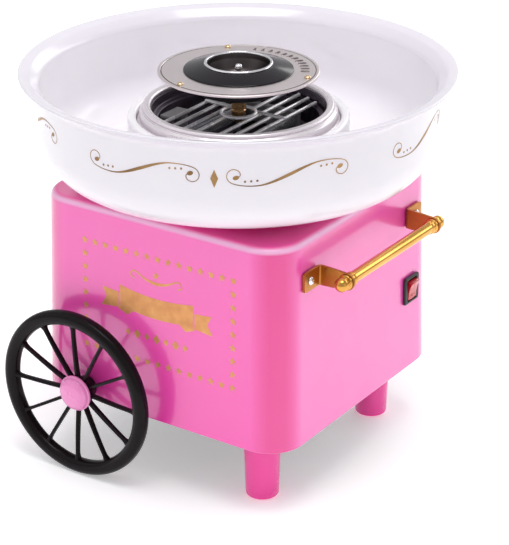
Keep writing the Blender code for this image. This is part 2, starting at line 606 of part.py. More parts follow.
def make_head(parent, mats):
    under = DISC_Z - 1.3 * MM
    disc = [(DISC_INNER_R, under), (DISC_R - 1.0 * MM, under), (DISC_R, DISC_Z - 0.6 * MM),
            (DISC_R - 1.0 * MM, DISC_Z + 0.1 * MM), (DISC_INNER_R, DISC_Z)]
    plate = add_object("spinner_disc", turned(disc, FINE), mats["head_steel"], parent)
    cut_from(plate, *rivet_holes(under - PASS, DISC_Z + PASS))
    base = DISC_Z + CLEAR
    cone = [(CONE_BASE_R, base), (CONE_BASE_R - 0.4 * MM, base + 0.5 * MM),
            (MOUTH_R + 3.3 * MM, MOUTH_TOP_Z - 1.4 * MM), (MOUTH_R + 0.3 * MM, MOUTH_TOP_Z - 1.4 * MM),
            (MOUTH_R + 0.3 * MM, MOUTH_TOP_Z - 3.6 * MM), (CONE_BASE_R - 3.4 * MM, base)]
    add_object("spinner_cone", turned(cone, FINE), mats["cone"], parent)
    mouth_low = MOUTH_TOP_Z - 1.1 * MM
    mouth = [(MOUTH_R + 2.9 * MM, mouth_low), (MOUTH_R + 2.6 * MM, MOUTH_TOP_Z - 0.4 * MM),
             (MOUTH_R + 1.4 * MM, MOUTH_TOP_Z), (MOUTH_R, MOUTH_TOP_Z - 0.5 * MM),
             (MOUTH_R, mouth_low)]
    add_object("mouth_ring", turned(mouth, FINE), mats["chrome"], parent)
    flange = under - CLEAR
    pan = [(SHAFT_BORE_R, PAN_FLOOR_Z), (PAN_R, PAN_FLOOR_Z), (PAN_R + 2.6 * MM, PAN_FLOOR_Z + 1.6 * MM),
           (PAN_R + 5.6 * MM, flange - PAN_T), (PAN_FLANGE_R, flange - PAN_T), (PAN_FLANGE_R, flange),
           (PAN_R + 4.9 * MM, flange), (PAN_R + 1.6 * MM, PAN_FLOOR_Z + 2.2 * MM),
           (PAN_R - 0.4 * MM, PAN_FLOOR_Z + PAN_T), (SHAFT_BORE_R, PAN_FLOOR_Z + PAN_T)]
    tray = add_object("head_pan", turned(pan, FINE), mats["pan"], parent)
    cut_from(tray, *rivet_holes(flange - PAN_T - PASS, flange + PASS))
    rivet_top, rivet_low = DISC_Z + CLEAR + 0.1 * MM, flange - PAN_T - CLEAR
    rivet = [(0, rivet_low - 0.9 * MM), (2.1 * MM, rivet_low - 0.6 * MM), (2.1 * MM, rivet_low),
             (1.1 * MM, rivet_low), (1.1 * MM, rivet_top), (2.6 * MM, rivet_top),
             (1.9 * MM, rivet_top + 0.8 * MM), (0, rivet_top + 1.2 * MM)]
    for number, centre in rivet_places():
        add_object("rivet_%d" % number, turned(rivet, 8, centre), mats["brass"], parent)


def make_head_core(parent, mats):
    """The coupling under the pan, and the post and nut that clamp the head together."""
    add_object("drive_coupling", turned(ring_profile(SHAFT_BORE_R, COUPLING_R, COUPLING_LOW_Z,
                                                     PAN_FLOOR_Z - CLEAR), COARSE),
               mats["brass"], parent)
    post = disc_profile(HEAD_POST_R, SHAFT_TOP_Z + 0.6 * MM, HEAD_POST_TOP_Z)
    add_object("head_post", turned(post, COARSE), mats["steel"], parent)
    nut_low, nut_r = HEAD_POST_TOP_Z - 2.4 * MM, 3.0 * MM
    bore_top = HEAD_POST_TOP_Z + CLEAR
    nut = [(0, bore_top), (SHAFT_BORE_R, bore_top), (SHAFT_BORE_R, nut_low), (nut_r, nut_low),
           (nut_r, nut_low + 1.6 * MM), (nut_r * 0.72, nut_low + 3.3 * MM),
           (0, nut_low + 4.0 * MM)]
    add_object("dome_nut", turned(nut, COARSE), mats["chrome"], parent)


def make_drive(parent, mats):
    add_object("motor_shaft", turned(disc_profile(SHAFT_R, SHAFT_LOW_Z, SHAFT_TOP_Z), COARSE),
               mats["steel"], parent)
    add_object("rotor", turned(ring_profile(SHAFT_BORE_R, ROTOR_R, *ROTOR_Z), MEDIUM),
               mats["winding"], parent)
    hub = ring_profile(SHAFT_BORE_R, FAN_HUB_R, FAN_Z - FAN_HUB_HALF, FAN_Z + FAN_HUB_HALF)
    fan = add_object("cooling_fan", turned(hub, COARSE), mats["black"], parent)
    blades = []
    for index in range(FAN_BLADES):
        blade = box((FAN_HUB_R - 0.5 * MM, -3.0 * MM, -0.6 * MM), (FAN_R, 3.0 * MM, 0.6 * MM))
        place = (Matrix.Translation((0, 0, FAN_Z))
                 @ Matrix.Rotation(math.tau * index / FAN_BLADES, 4, "Z")
                 @ Matrix.Rotation(math.radians(FAN_PITCH_DEG), 4, "X"))
        bmesh.ops.transform(blade, matrix=place, verts=blade.verts)
        blades.append(blade)
    add_to(fan, *blades)


def make_motor(mats):
    neck_r, neck_top, wall = MOTOR_NECK_R, MOTOR_TOP_Z + 4.4 * MM, MOTOR_WALL
    bore = SHAFT_BORE_R + 0.15 * MM
    can = [(MOTOR_R, MOTOR_LOW_Z), (MOTOR_R, MOTOR_TOP_Z - 1.2 * MM), (MOTOR_R - 1.2 * MM, MOTOR_TOP_Z),
           (neck_r, MOTOR_TOP_Z), (neck_r, neck_top), (bore, neck_top), (bore, MOTOR_TOP_Z - wall),
           (MOTOR_R - wall, MOTOR_TOP_Z - wall), (MOTOR_R - wall, MOTOR_LOW_Z)]
    add_object("motor_can", turned(can, MEDIUM), mats["steel"])
    top = MOTOR_LOW_Z - CLEAR
    cap = [(bore, top - 7.2 * MM), (4.5 * MM, top - 7.2 * MM), (4.5 * MM, top - 3.7 * MM),
           (MOTOR_R, top - 3.7 * MM), (MOTOR_R, top), (bore, top)]
    add_object("motor_end_cap", turned(cap, MEDIUM), mats["black"])
    high = BRACKET_Z + BRACKET_T
    lip_z = BRACKET_Z - 6 * MM
    inner = BRACKET_HALF_W - BRACKET_T
    bar = add_object("motor_bracket", box((-BRACKET_HALF_W, -BRACKET_SCREW_Y - 6 * MM, BRACKET_Z),
                                          (BRACKET_HALF_W, BRACKET_SCREW_Y + 6 * MM, high)),
                     mats["steel"])
    lip_half = 60 * MM
    overlap = 0.8 * MM
    add_to(bar, *[box((min(s * inner, s * BRACKET_HALF_W), -lip_half, lip_z),
                      (max(s * inner, s * BRACKET_HALF_W), lip_half, BRACKET_Z + overlap))
                  for s in (-1, 1)])
    cut_from(bar, rod((0, 0, BRACKET_Z - PASS), (0, 0, high + PASS), neck_r + 0.5 * MM, COARSE),
             *[rod((0, s * BRACKET_SCREW_Y, BRACKET_Z - PASS), (0, s * BRACKET_SCREW_Y, high + PASS),
                   PILOT_R + 0.2 * MM, 8) for s in (-1, 1)])
    head = BRACKET_Z - CLEAR - SCREW_HEAD_T
    for name, side in mirrored_names("bracket_screw"):
        add_object(name, turned(screw_profile(head, SEAT_Z - 3.2 * MM), 8,
                                (0, side * BRACKET_SCREW_Y, 0)), mats["steel"])


# ---------------------------------------------------------------- handle

def make_handle(mats):
    wall_x = body_half(HANDLE_Z - 7 * MM) + CLEAR
    plate_t = HANDLE_SHEET_T
    arm_in, arm_out = HANDLE_ARM_Y - plate_t / 2, HANDLE_ARM_Y + plate_t / 2
    root_half = 7.2 * MM
    for name, side in mirrored_names("handle_bracket"):
        eye = arc(HANDLE_X, HANDLE_Z, HANDLE_EYE_R, -80, 80, 6)
        outline = [(wall_x, HANDLE_Z - root_half)] + eye + [(wall_x, HANDLE_Z + root_half)]
        y_low, y_high = sorted((side * arm_in, side * arm_out))
        arm = loft([[(x, y, z) for x, z in outline] for y in (y_low, y_high)])
        bracket = add_object(name, arm, mats["gold"])
        p_low, p_high = sorted((side * (arm_in + 0.4 * MM), side * 76 * MM))
        add_to(bracket, box((wall_x, p_low, HANDLE_Z - root_half + 0.1 * MM),
                            (wall_x + plate_t, p_high, HANDLE_Z + root_half - 0.1 * MM)))
        cut_from(bracket,
                 rod((HANDLE_X, side * (arm_in - PASS), HANDLE_Z),
                     (HANDLE_X, side * (arm_out + PASS), HANDLE_Z), 2.9 * MM, COARSE),
                 rod((wall_x - PASS, side * HANDLE_SCREW_Y, HANDLE_Z),
                     (wall_x + plate_t + PASS, side * HANDLE_SCREW_Y, HANDLE_Z), PILOT_R, 8))
    bar_end, journal_end, journal_r = arm_in - CLEAR, 62.0 * MM, 2.5 * MM
    bar = [(0, -journal_end), (journal_r, -journal_end), (journal_r, -bar_end),
           (HANDLE_BAR_R, -bar_end), (HANDLE_BAR_R, bar_end), (journal_r, bar_end),
           (journal_r, journal_end), (0, journal_end)]
    add_object("handle_bar", turned(bar, COARSE, (HANDLE_X, 0, HANDLE_Z), "Y"), mats["gold"])
    knob_low = arm_out + CLEAR
    knob = ([(0, journal_end + CLEAR), (journal_r + CLEAR, journal_end + CLEAR),
             (journal_r + CLEAR, knob_low), (5.5 * MM, knob_low), (5.5 * MM, knob_low + 1.4 * MM),
             (4.1 * MM, knob_low + 2.0 * MM)]
            + arc(0, 63.5 * MM, 4.8 * MM, -30, 90, 4))
    for name, side in mirrored_names("handle_knob"):
        add_object(name, turned(knob[:-1] + [(0, 68.3 * MM)], COARSE, (HANDLE_X, 0, HANDLE_Z),
                                "Y" if side > 0 else "-Y"), mats["gold"])
    head_low = wall_x + plate_t + CLEAR
    screw = [(0, head_low - 9 * MM), (SCREW_R, head_low - 9 * MM), (SCREW_R, head_low),
             (3.0 * MM, head_low), (2.6 * MM, head_low + 1.0 * MM), (0, head_low + 1.8 * MM)]
    for name, side in mirrored_names("handle_screw"):
        add_object(name, turned(screw, COARSE, (0, side * HANDLE_SCREW_Y, HANDLE_Z), "X"),
                   mats["chrome"])


# ---------------------------------------------------------------- switch and wiring

def make_switch(parent, mats):
    bezel_low = body_half(SWITCH_Z - SWITCH_H / 2) + CLEAR
    bezel_high = bezel_low + 1.9 * MM
    back = parent.location.x - SWITCH_DEPTH
    body = switch_box(back, bezel_low + 1.0 * MM, SWITCH_BODY_HALF)
    switch = add_object("switch_body", body, mats["black"])
    half_w, half_h, inset = SWITCH_W / 2, SWITCH_H / 2, 0.9 * MM
    bezel = loft([[(x, SWITCH_Y + sy * (half_w - cut), SWITCH_Z + sz * (half_h - cut))
                   for sy, sz in ((-1, -1), (1, -1), (1, 1), (-1, 1))]
                  for x, cut in ((bezel_low, 0), (bezel_high - inset, 0), (bezel_high, inset))])
    lugs = [box((back - 6 * MM, SWITCH_Y - 2.4 * MM, SWITCH_Z + z - 0.4 * MM),
                (back + 0.5 * MM, SWITCH_Y + 2.4 * MM, SWITCH_Z + z + 0.4 * MM))
            for z in (-5 * MM, 5 * MM)]
    add_to(switch, bezel, *lugs)
    cut_from(switch, switch_box(parent.location.x - 7.5 * MM, bezel_high + PASS,
                                SWITCH_CAVITY_HALF))
    half = 7.2 * MM
    outline = [(3.2 * MM, half), (2.3 * MM, 0), (3.2 * MM, -half), (-0.8 * MM, -half),
               (-4.8 * MM, -4.2 * MM), (-6.0 * MM, 0), (-4.8 * MM, 4.2 * MM), (-0.8 * MM, half)]
    tilt = Euler((0, math.radians(ROCKER_TILT_DEG), 0)).to_matrix()
    rocker = loft([[parent.location + tilt @ Vector((u, y, v)) for u, v in outline]
                   for y in (-ROCKER_W / 2, ROCKER_W / 2)])
    add_object("rocker", rocker, mats["red"], parent)


def make_inlet_and_terminals(mats):
    wall_y = body_half(INLET_Z - 8 * MM) + CLEAR
    grommet = [(3.3 * MM, wall_y - 6 * MM), (5.2 * MM, wall_y - 6 * MM), (5.2 * MM, wall_y),
               (8.0 * MM, wall_y), (7.2 * MM, wall_y + 2.2 * MM), (3.3 * MM, wall_y + 2.2 * MM)]
    add_object("cord_inlet", turned(grommet, COARSE, (INLET_X, 0, INLET_Z), "Y"), mats["rubber"])
    low = BODY_BASE_Z + CLEAR * 2 + BASE_PLATE_T
    add_object("terminal_block", box((30 * MM, 56 * MM, low), (58 * MM, 72 * MM, low + 12 * MM)),
               mats["ceramic"])


def add_lead(name, route, mat):
    """An insulated lead through a few points, as a smooth tube with closed ends."""
    radius, steps = 1.1 * MM, 5
    points = [Vector(point) for point in route]
    padded = [points[0] * 2 - points[1]] + points + [points[-1] * 2 - points[-2]]
    path = []
    for p0, p1, p2, p3 in zip(padded, padded[1:], padded[2:], padded[3:]):
        for step in range(steps):
            t = step / steps
            path.append(0.5 * (2 * p1 + (p2 - p0) * t + (2 * p0 - 5 * p1 + 4 * p2 - p3) * t ** 2
                               + (3 * p1 - p0 - 3 * p2 + p3) * t ** 3))
    path.append(points[-1])
    curve = bpy.data.curves.new(name, "CURVE")
    curve.dimensions = "3D"
    curve.bevel_depth = radius
    curve.bevel_resolution = 1
    curve.use_fill_caps = True
    spline = curve.splines.new("POLY")
    spline.points.add(len(path) - 1)
    for slot, point in zip(spline.points, path):
        slot.co = (*point, 1.0)
    curve.materials.append(mat)
    lead = bpy.data.objects.new(name, curve)
    bpy.context.scene.collection.objects.link(lead)


def make_leads(switch_back, mats):
    block_top = BODY_BASE_Z + CLEAR * 2 + BASE_PLATE_T + 12 * MM + CLEAR
    lug = switch_back - 7.4 * MM
    add_lead("lead_switch_live", [(lug, SWITCH_Y, SWITCH_Z - 5 * MM), (72 * MM, 64 * MM, 96 * MM),
                                  (54 * MM, 65 * MM, 84 * MM), (51 * MM, 64 * MM, block_top)],
             mats["lead_brown"])
    cap_side = MOTOR_R + CLEAR
    add_lead("lead_motor", [(lug, SWITCH_Y, SWITCH_Z + 5 * MM), (66 * MM, 54 * MM, 128 * MM),
                            (40 * MM, 26 * MM, 142 * MM), (28 * MM, 6 * MM, 148 * MM),
                            (cap_side, 0, MOTOR_LOW_Z - 2.2 * MM)], mats["lead_brown"])
    add_lead("lead_heater", [(36 * MM, 64 * MM, block_top), (37 * MM, 58 * MM, 100 * MM),
                             (40 * MM, 20 * MM, 160 * MM), (32 * MM, -18 * MM, 198 * MM),
                             (28 * MM, -22 * MM, 215.0 * MM - CLEAR)], mats["lead_blue"])


# ---------------------------------------------------------------- the whole machine

def make_materials():
    return {
        "pink": material("pink_plastic", (0.86, 0.18, 0.52), 0.22),
        "bowl": material("white_bowl_plastic", (0.88, 0.86, 0.90), 0.25),
        "tower": material("spun_aluminium", (0.72, 0.69, 0.70), 0.25, 1.0),
        "wheel": material("black_wheel_plastic", (0.02, 0.018, 0.02), 0.25),
        "black": material("black_plastic", (0.02, 0.02, 0.02), 0.45),
        "rubber": material("rubber", (0.02, 0.02, 0.022), 0.8),
        "steel": material("plated_steel", (0.6, 0.6, 0.6), 0.35, 1.0),
        "chrome": material("chrome", (0.8, 0.8, 0.82), 0.08, 1.0),
        "head_steel": material("stainless_head", (0.62, 0.57, 0.58), 0.3, 1.0),
        "cone": material("black_cone", (0.02, 0.018, 0.02), 0.25),
        "pan": material("dark_pan", (0.05, 0.045, 0.05), 0.4, 0.6),
        "reflector": material("reflector_aluminium", (0.35, 0.33, 0.36), 0.25, 1.0),
        "quartz": material("quartz_glass", (0.75, 0.77, 0.8), 0.1),
        "ceramic": material("ceramic", (0.45, 0.43, 0.44), 0.6),
        "gold": material("polished_brass", (0.75, 0.42, 0.1), 0.15, 1.0),
        "brass": material("brass", (0.5, 0.32, 0.12), 0.3, 1.0),
        "winding": material("copper_winding", (0.45, 0.16, 0.06), 0.4, 0.8),
        "red": material("red_switch", (0.62, 0.02, 0.03), 0.25),
        "lead_brown": material("brown_insulation", (0.16, 0.06, 0.03), 0.5),
        "lead_blue": material("blue_insulation", (0.03, 0.1, 0.45), 0.5),
    }


def main():
    clear_scene()
    mats = make_materials()
    drive = pivot("drive_pivot", (0, 0, MOTOR_LOW_Z))
    head = pivot("head_seat", (0, 0, COUPLING_LOW_Z))
    bowl_seat = pivot("bowl_seat", (0, 0, BOWL_BASE_Z))
    wheel_pivots = {name: pivot("wheel_pivot_" + name, (WHEEL_X, side * WHEEL_Y, WHEEL_R))
                    for name, side in (("left", -1), ("right", 1))}
    rocker_pivot = pivot("rocker_pivot", (ROCKER_X, SWITCH_Y, SWITCH_Z))
    bpy.context.view_layer.update()

    make_housing(mats)
    make_base_plate(mats)
    make_base_screws(mats)
    make_feet(mats)
    make_axle(mats)
    make_wheel("left", -1, wheel_pivots["left"], mats)
    make_wheel("right", 1, wheel_pivots["right"], mats)
    make_bowl(bowl_seat, mats)
    make_tower(mats)
    make_well(mats)
    make_heater(mats)
    make_guard(mats)
    make_head(head, mats)
    make_head_core(head, mats)
    make_drive(drive, mats)
    make_motor(mats)
    make_handle(mats)
    make_switch(rocker_pivot, mats)
    make_inlet_and_terminals(mats)
    make_leads(ROCKER_X - SWITCH_DEPTH, mats)


main()
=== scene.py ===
"""Looks of the carnival-cart cotton candy machine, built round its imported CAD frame.

Metres, +Z up, origin on the floor under the sugar head's axis. +X is the end with the
handle and the switch, -Y the side with the left wheel.
"""
import json
import math

import bmesh
import bpy
from mathutils import Euler, Matrix, Vector

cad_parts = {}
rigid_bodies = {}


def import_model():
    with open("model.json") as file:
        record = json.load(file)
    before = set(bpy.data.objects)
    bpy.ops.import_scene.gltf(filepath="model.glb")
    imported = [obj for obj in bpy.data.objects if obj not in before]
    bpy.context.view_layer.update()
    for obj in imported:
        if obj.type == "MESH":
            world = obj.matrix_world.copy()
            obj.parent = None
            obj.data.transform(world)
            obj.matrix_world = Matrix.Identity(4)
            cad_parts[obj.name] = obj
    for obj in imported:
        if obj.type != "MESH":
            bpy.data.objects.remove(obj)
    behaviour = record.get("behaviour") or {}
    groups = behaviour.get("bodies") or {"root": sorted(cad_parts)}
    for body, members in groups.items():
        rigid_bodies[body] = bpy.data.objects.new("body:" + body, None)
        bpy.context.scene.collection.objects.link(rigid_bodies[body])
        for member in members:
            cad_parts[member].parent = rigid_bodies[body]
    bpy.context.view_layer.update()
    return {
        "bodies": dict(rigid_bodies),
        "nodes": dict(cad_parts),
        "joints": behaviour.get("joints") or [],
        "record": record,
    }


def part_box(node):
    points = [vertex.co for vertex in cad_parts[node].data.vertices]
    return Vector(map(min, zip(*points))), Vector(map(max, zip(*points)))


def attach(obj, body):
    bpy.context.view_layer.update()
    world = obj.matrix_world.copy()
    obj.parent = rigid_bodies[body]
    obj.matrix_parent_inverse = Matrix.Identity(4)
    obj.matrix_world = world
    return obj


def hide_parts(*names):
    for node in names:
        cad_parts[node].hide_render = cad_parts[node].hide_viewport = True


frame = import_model()

MM = 0.001
FINE, MEDIUM, SMALL = 160, 72, 40       # steps round large, middling and small turned pieces

# Sizes that the frame gives
SHELL_LOW, SHELL_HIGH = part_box("housing_shell")
BOWL_LOW, BOWL_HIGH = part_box("bowl")
TOWER_LOW, TOWER_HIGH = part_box("tower_collar")
DISC_LOW, DISC_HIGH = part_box("spinner_disc")
MOUTH_LOW, MOUTH_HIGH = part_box("mouth_ring")
WHEEL_LOW, WHEEL_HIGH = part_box("wheel_left")
GUARD_LOW, GUARD_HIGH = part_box("wire_guard")
SWITCH_LOW, SWITCH_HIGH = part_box("switch_body")
BAR_LOW, BAR_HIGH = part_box("handle_bar")

# Housing
BODY_BASE_Z = SHELL_LOW.z
BODY_TOP_Z = 197.4 * MM
SEAT_Z = SHELL_HIGH.z
HALF_BASE = 104.0 * MM
HALF_TOP = 100.5 * MM
CORNER_R = 26.0 * MM
TOP_EDGE_R = 5.0 * MM
WALL = 2.6 * MM
SEAT_R = 88.0 * MM
SEAT_BORE_R = 63.0 * MM
AXLE_HOLE_R = 3.6 * MM
INLET_HOLE_R = 5.7 * MM

# Wheels
WHEEL_R = (WHEEL_HIGH.z - WHEEL_LOW.z) / 2
WHEEL_X = (WHEEL_HIGH.x + WHEEL_LOW.x) / 2
WHEEL_Y = 119.4 * MM
RIM_R = 5.2 * MM
SPOKES = 12

# Bowl
BOWL_R = BOWL_HIGH.x
BOWL_WALL_R = 138.3 * MM
BOWL_WALL_LOW_R = 137.5 * MM
BOWL_CORNER_R = 29.2 * MM
BOWL_T = 2.5 * MM
ORNAMENT_Z = 251.0 * MM

# Print
FOIL = 0.08 * MM        # how far the foil print stands off its surface


# --- mesh helpers

def mesh_piece(name, bm, mat, body, replaces=(), sharp=38):
    """Make an object of a bmesh, let it ride on a CAD body, and hide what it stands for."""
    bmesh.ops.recalc_face_normals(bm, faces=bm.faces)
    mesh = bpy.data.meshes.new(name)
    bm.to_mesh(mesh)
    bm.free()
    mesh.materials.append(MAT[mat])
    mesh.shade_smooth()
    mesh.set_sharp_from_angle(angle=math.radians(sharp))
    obj = bpy.data.objects.new(name, mesh)
    bpy.context.scene.collection.objects.link(obj)
    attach(obj, body)
    if replaces:
        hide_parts(*replaces)
    return obj


def joined(*parts):
    """One bmesh of several closed bodies."""
    whole = bmesh.new()
    for part in parts:
        bmesh.ops.recalc_face_normals(part, faces=part.faces)
        mesh = bpy.data.meshes.new("joining")
        part.to_mesh(mesh)
        part.free()
        whole.from_mesh(mesh)
        bpy.data.meshes.remove(mesh)
    return whole


def boolean(obj, tool_bm, operation):
    """Apply one exact Boolean to an object and drop the tool."""
    bmesh.ops.recalc_face_normals(tool_bm, faces=tool_bm.faces)
    mesh = bpy.data.meshes.new("tool")
    tool_bm.to_mesh(mesh)
    tool_bm.free()
    tool = bpy.data.objects.new("tool", mesh)
    bpy.context.scene.collection.objects.link(tool)
    modifier = obj.modifiers.new("cut", "BOOLEAN")
    modifier.operation = operation
    modifier.solver = "EXACT"
    modifier.object = tool
    bpy.context.view_layer.update()
    graph = bpy.context.evaluated_depsgraph_get()
    result = bpy.data.meshes.new_from_object(obj.evaluated_get(graph))
    obj.modifiers.clear()
    old = obj.data
    obj.data = result
    bpy.data.meshes.remove(old)
    bpy.data.objects.remove(tool)
    bpy.data.meshes.remove(mesh)
    obj.data.shade_smooth()
    obj.data.set_sharp_from_angle(angle=math.radians(38))


def weight_normals(obj):
    """Shade the flat faces flat, up to their rounded edges."""
    modifier = obj.modifiers.new("flat_faces", "WEIGHTED_NORMAL")
    modifier.keep_sharp = True


def fillet(points, closed=True, step_deg=11):
    """Round the corners of a 2D outline given as (x, y, radius) points."""
    out = []
    count = len(points)
    for i, (x, y, radius) in enumerate(points):
        here = Vector((x, y))
        if radius <= 0 or (not closed and i in (0, count - 1)):
            out.append(here)
            continue
        back = Vector(points[i - 1][:2]) - here
        ahead = Vector(points[(i + 1) % count][:2]) - here
        half = back.angle(ahead) / 2
        reach = min(radius / math.tan(half), 0.49 * back.length, 0.49 * ahead.length)
        radius = reach * math.tan(half)
        back.normalize()
        ahead.normalize()
        centre = here + (back + ahead).normalized() * (radius / math.sin(half))
        start = here + back * reach - centre
        end = here + ahead * reach - centre
        first = math.atan2(start.y, start.x)
        sweep = (math.atan2(end.y, end.x) - first + math.pi) % math.tau - math.pi
        steps = max(1, math.ceil(abs(math.degrees(sweep)) / step_deg))
        for k in range(steps + 1):
            angle = first + sweep * k / steps
            out.append(centre + radius * Vector((math.cos(angle), math.sin(angle))))
    return out


def rounded_rect(half_w, half_h, r, steps=6):
    """The (x, y) points of a rectangle with round corners."""
    points = []
    for sx, sy, first in ((1, 1, 0), (-1, 1, 90), (-1, -1, 180), (1, -1, 270)):
        for k in range(steps + 1):
            angle = math.radians(first + 90 * k / steps)
            points.append((sx * (half_w - r) + r * math.cos(angle),
                           sy * (half_h - r) + r * math.sin(angle)))
    return points


def circle(radius, count, shift=0.0):
    """Points (x, y) evenly round a circle, moved on by a share of a step."""
    angles = [math.tau * (k + shift) / count for k in range(count)]
    return [(radius * math.cos(angle), radius * math.sin(angle)) for angle in angles]


def directions(angle):
    """Unit vectors outward and along a circle about Z."""
    c, s = math.cos(angle), math.sin(angle)
    return Vector((c, s, 0)), Vector((-s, c, 0))


def box_middle(node):
    """The centre of a CAD node's box."""
    low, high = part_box(node)
    return [(a + b) / 2 for a, b in zip(low, high)]


def quarter(steps, first=0):
    """Pairs (1 - cos, 1 - sin) in even steps along a quarter turn."""
    angles = [math.radians(90 * k / steps) for k in range(first, steps + 1)]
    return [(1 - math.cos(angle), 1 - math.sin(angle)) for angle in angles]


def scaled(points):
    """A list of (x, y, radius) in millimetres, as metres."""
    return [tuple(value * MM for value in point) for point in points]


AXIS_TURN = {"Z": Matrix(), "X": Matrix.Rotation(math.pi / 2, 4, "Y"),
             "Y": Matrix.Rotation(-math.pi / 2, 4, "X"),
             "-Y": Matrix.Rotation(math.pi / 2, 4, "X")}


def lathe(profile, steps, centre=(0, 0, 0), axis="Z", closed=True):
    """Turn a (radius, height) outline round an axis; points on the axis become poles."""
    bm = bmesh.new()
    place = Matrix.Translation(centre) @ AXIS_TURN[axis]
    rings = []
    for point in profile:
        r, h = point[0], point[1]
        if r < 1e-7:
            rings.append([bm.verts.new(place @ Vector((0, 0, h)))])
        else:
            rings.append([bm.verts.new(place @ Vector((x, y, h))) for x, y in circle(r, steps)])
    pairs = list(zip(rings, rings[1:]))
    if closed and len(rings[0]) > 1 and len(rings[-1]) > 1:
        pairs.append((rings[-1], rings[0]))
    for a, b in pairs:
        for k in range(steps):
            j = (k + 1) % steps
            corners = [a[k % len(a)], a[j % len(a)], b[j % len(b)], b[k % len(b)]]
            face = list(dict.fromkeys(corners))
            if len(face) > 2:
                bm.faces.new(face)
    return bm


def turned(points, steps, centre=(0, 0, 0), axis="Z"):
    """A turned solid from millimetre (radius, height, fillet) points."""
    open_ends = points[0][0] == 0 and points[-1][0] == 0
    return lathe(fillet(scaled(points), closed=not open_ends), steps, centre, axis)


def turned_piece(name, points, steps, mat, body, replaces=(), centre=(0, 0, 0), axis="Z"):
    """A turned solid as a piece of the model."""
    mesh_piece(name, turned(points, steps, centre, axis), mat, body, replaces)


def rod(radius, first, last, x, z):
    """A round bar along Y, as a cutter."""
    return lathe([(0, first), (radius, first), (radius, last), (0, last)], 32, (x, 0, z), "Y")


def loft(sections, caps=True):
    """Skin closed sections of equal count in order."""
    bm = bmesh.new()
    rings = [[bm.verts.new(point) for point in section] for section in sections]
    for low, high in zip(rings, rings[1:]):
        for i in range(len(low)):
            j = (i + 1) % len(low)
            bm.faces.new((low[i], low[j], high[j], high[i]))
    if caps:
        bm.faces.new(list(reversed(rings[0])))
        bm.faces.new(rings[-1])
    return bm


def box_bm(low, high, bevel=0.0, segments=3):
    """A box between two corners, with bevelled edges if asked."""
    low, high = Vector(low), Vector(high)
    bm = bmesh.new()
    bmesh.ops.create_cube(bm, size=1.0)
    bmesh.ops.scale(bm, verts=bm.verts, vec=high - low)
    bmesh.ops.translate(bm, verts=bm.verts, vec=(low + high) / 2)
    if bevel:
        bmesh.ops.bevel(bm, geom=bm.edges[:], offset=bevel, segments=segments, profile=0.5,
                        affect="EDGES")
    return bm


def smooth_path(points, steps=6):
    """A Catmull-Rom curve through 3D or 2D points."""
    points = [Vector(point) for point in points]
    padded = [points[0] * 2 - points[1]] + points + [points[-1] * 2 - points[-2]]
    path = []
    for p0, p1, p2, p3 in zip(padded, padded[1:], padded[2:], padded[3:]):
        for step in range(steps):
            t = step / steps
            path.append(0.5 * (2 * p1 + (p2 - p0) * t + (2 * p0 - 5 * p1 + 4 * p2 - p3) * t ** 2
                               + (3 * p1 - p0 - 3 * p2 + p3) * t ** 3))
    path.append(points[-1])
    return path


def tube(path, radius, sides=14, ring=False):
    """A round wire along a path, with domed ends or closed into a ring."""
    path = [Vector(point) for point in path]
    count = len(path)
    frames = []
    normal = None
    for i, point in enumerate(path):
        if ring:
            tangent = (path[(i + 1) % count] - path[i - 1]).normalized()
        else:
            tangent = (path[min(i + 1, count - 1)] - path[max(i - 1, 0)]).normalized()
        if normal is None:
            normal = tangent.orthogonal().normalized()
        normal = (normal - tangent * normal.dot(tangent)).normalized()
        frames.append((point, tangent, normal, tangent.cross(normal)))

    def section(point, normal, side, r):
        return [point + r * (c * normal + s * side) for c, s in circle(1.0, sides)]

    def dome(frame, sign, turns):
        point, tangent, normal, side = frame
        return [section(point + sign * tangent * radius * 0.5 * math.sin(math.radians(turn)),
                        normal, side, radius * math.cos(math.radians(turn))) for turn in turns]

    rings = [section(point, normal, side, radius) for point, _, normal, side in frames]
    if ring:
        return loft(rings + [rings[0]], caps=False)
    return loft(dome(frames[0], -1, (80, 55, 28)) + rings + dome(frames[-1], 1, (28, 55, 80)))


def wall_slots(count, shift, stations, depth):
    """Narrow strips set round a wall, through (height, radius, half width) stations in mm."""
    slots = []
    for k in range(count):
        out, across = directions(math.tau * (k + shift) / count)
        sections = []
        for z, r, half in stations:
            centre = out * (r * MM) + Vector((0, 0, z * MM))
            sections.append([centre + across * sx * half * MM + out * sy * depth * MM
                             for sx, sy in ((1, -1), (-1, -1), (-1, 1), (1, 1))])
        slots.append(loft(sections))
    return joined(*slots)


def merge_seam(bm):
    """Weld the first and the last ring of a closed loft."""
    bmesh.ops.remove_doubles(bm, verts=bm.verts, dist=1e-7)
    return bm


# --- materials

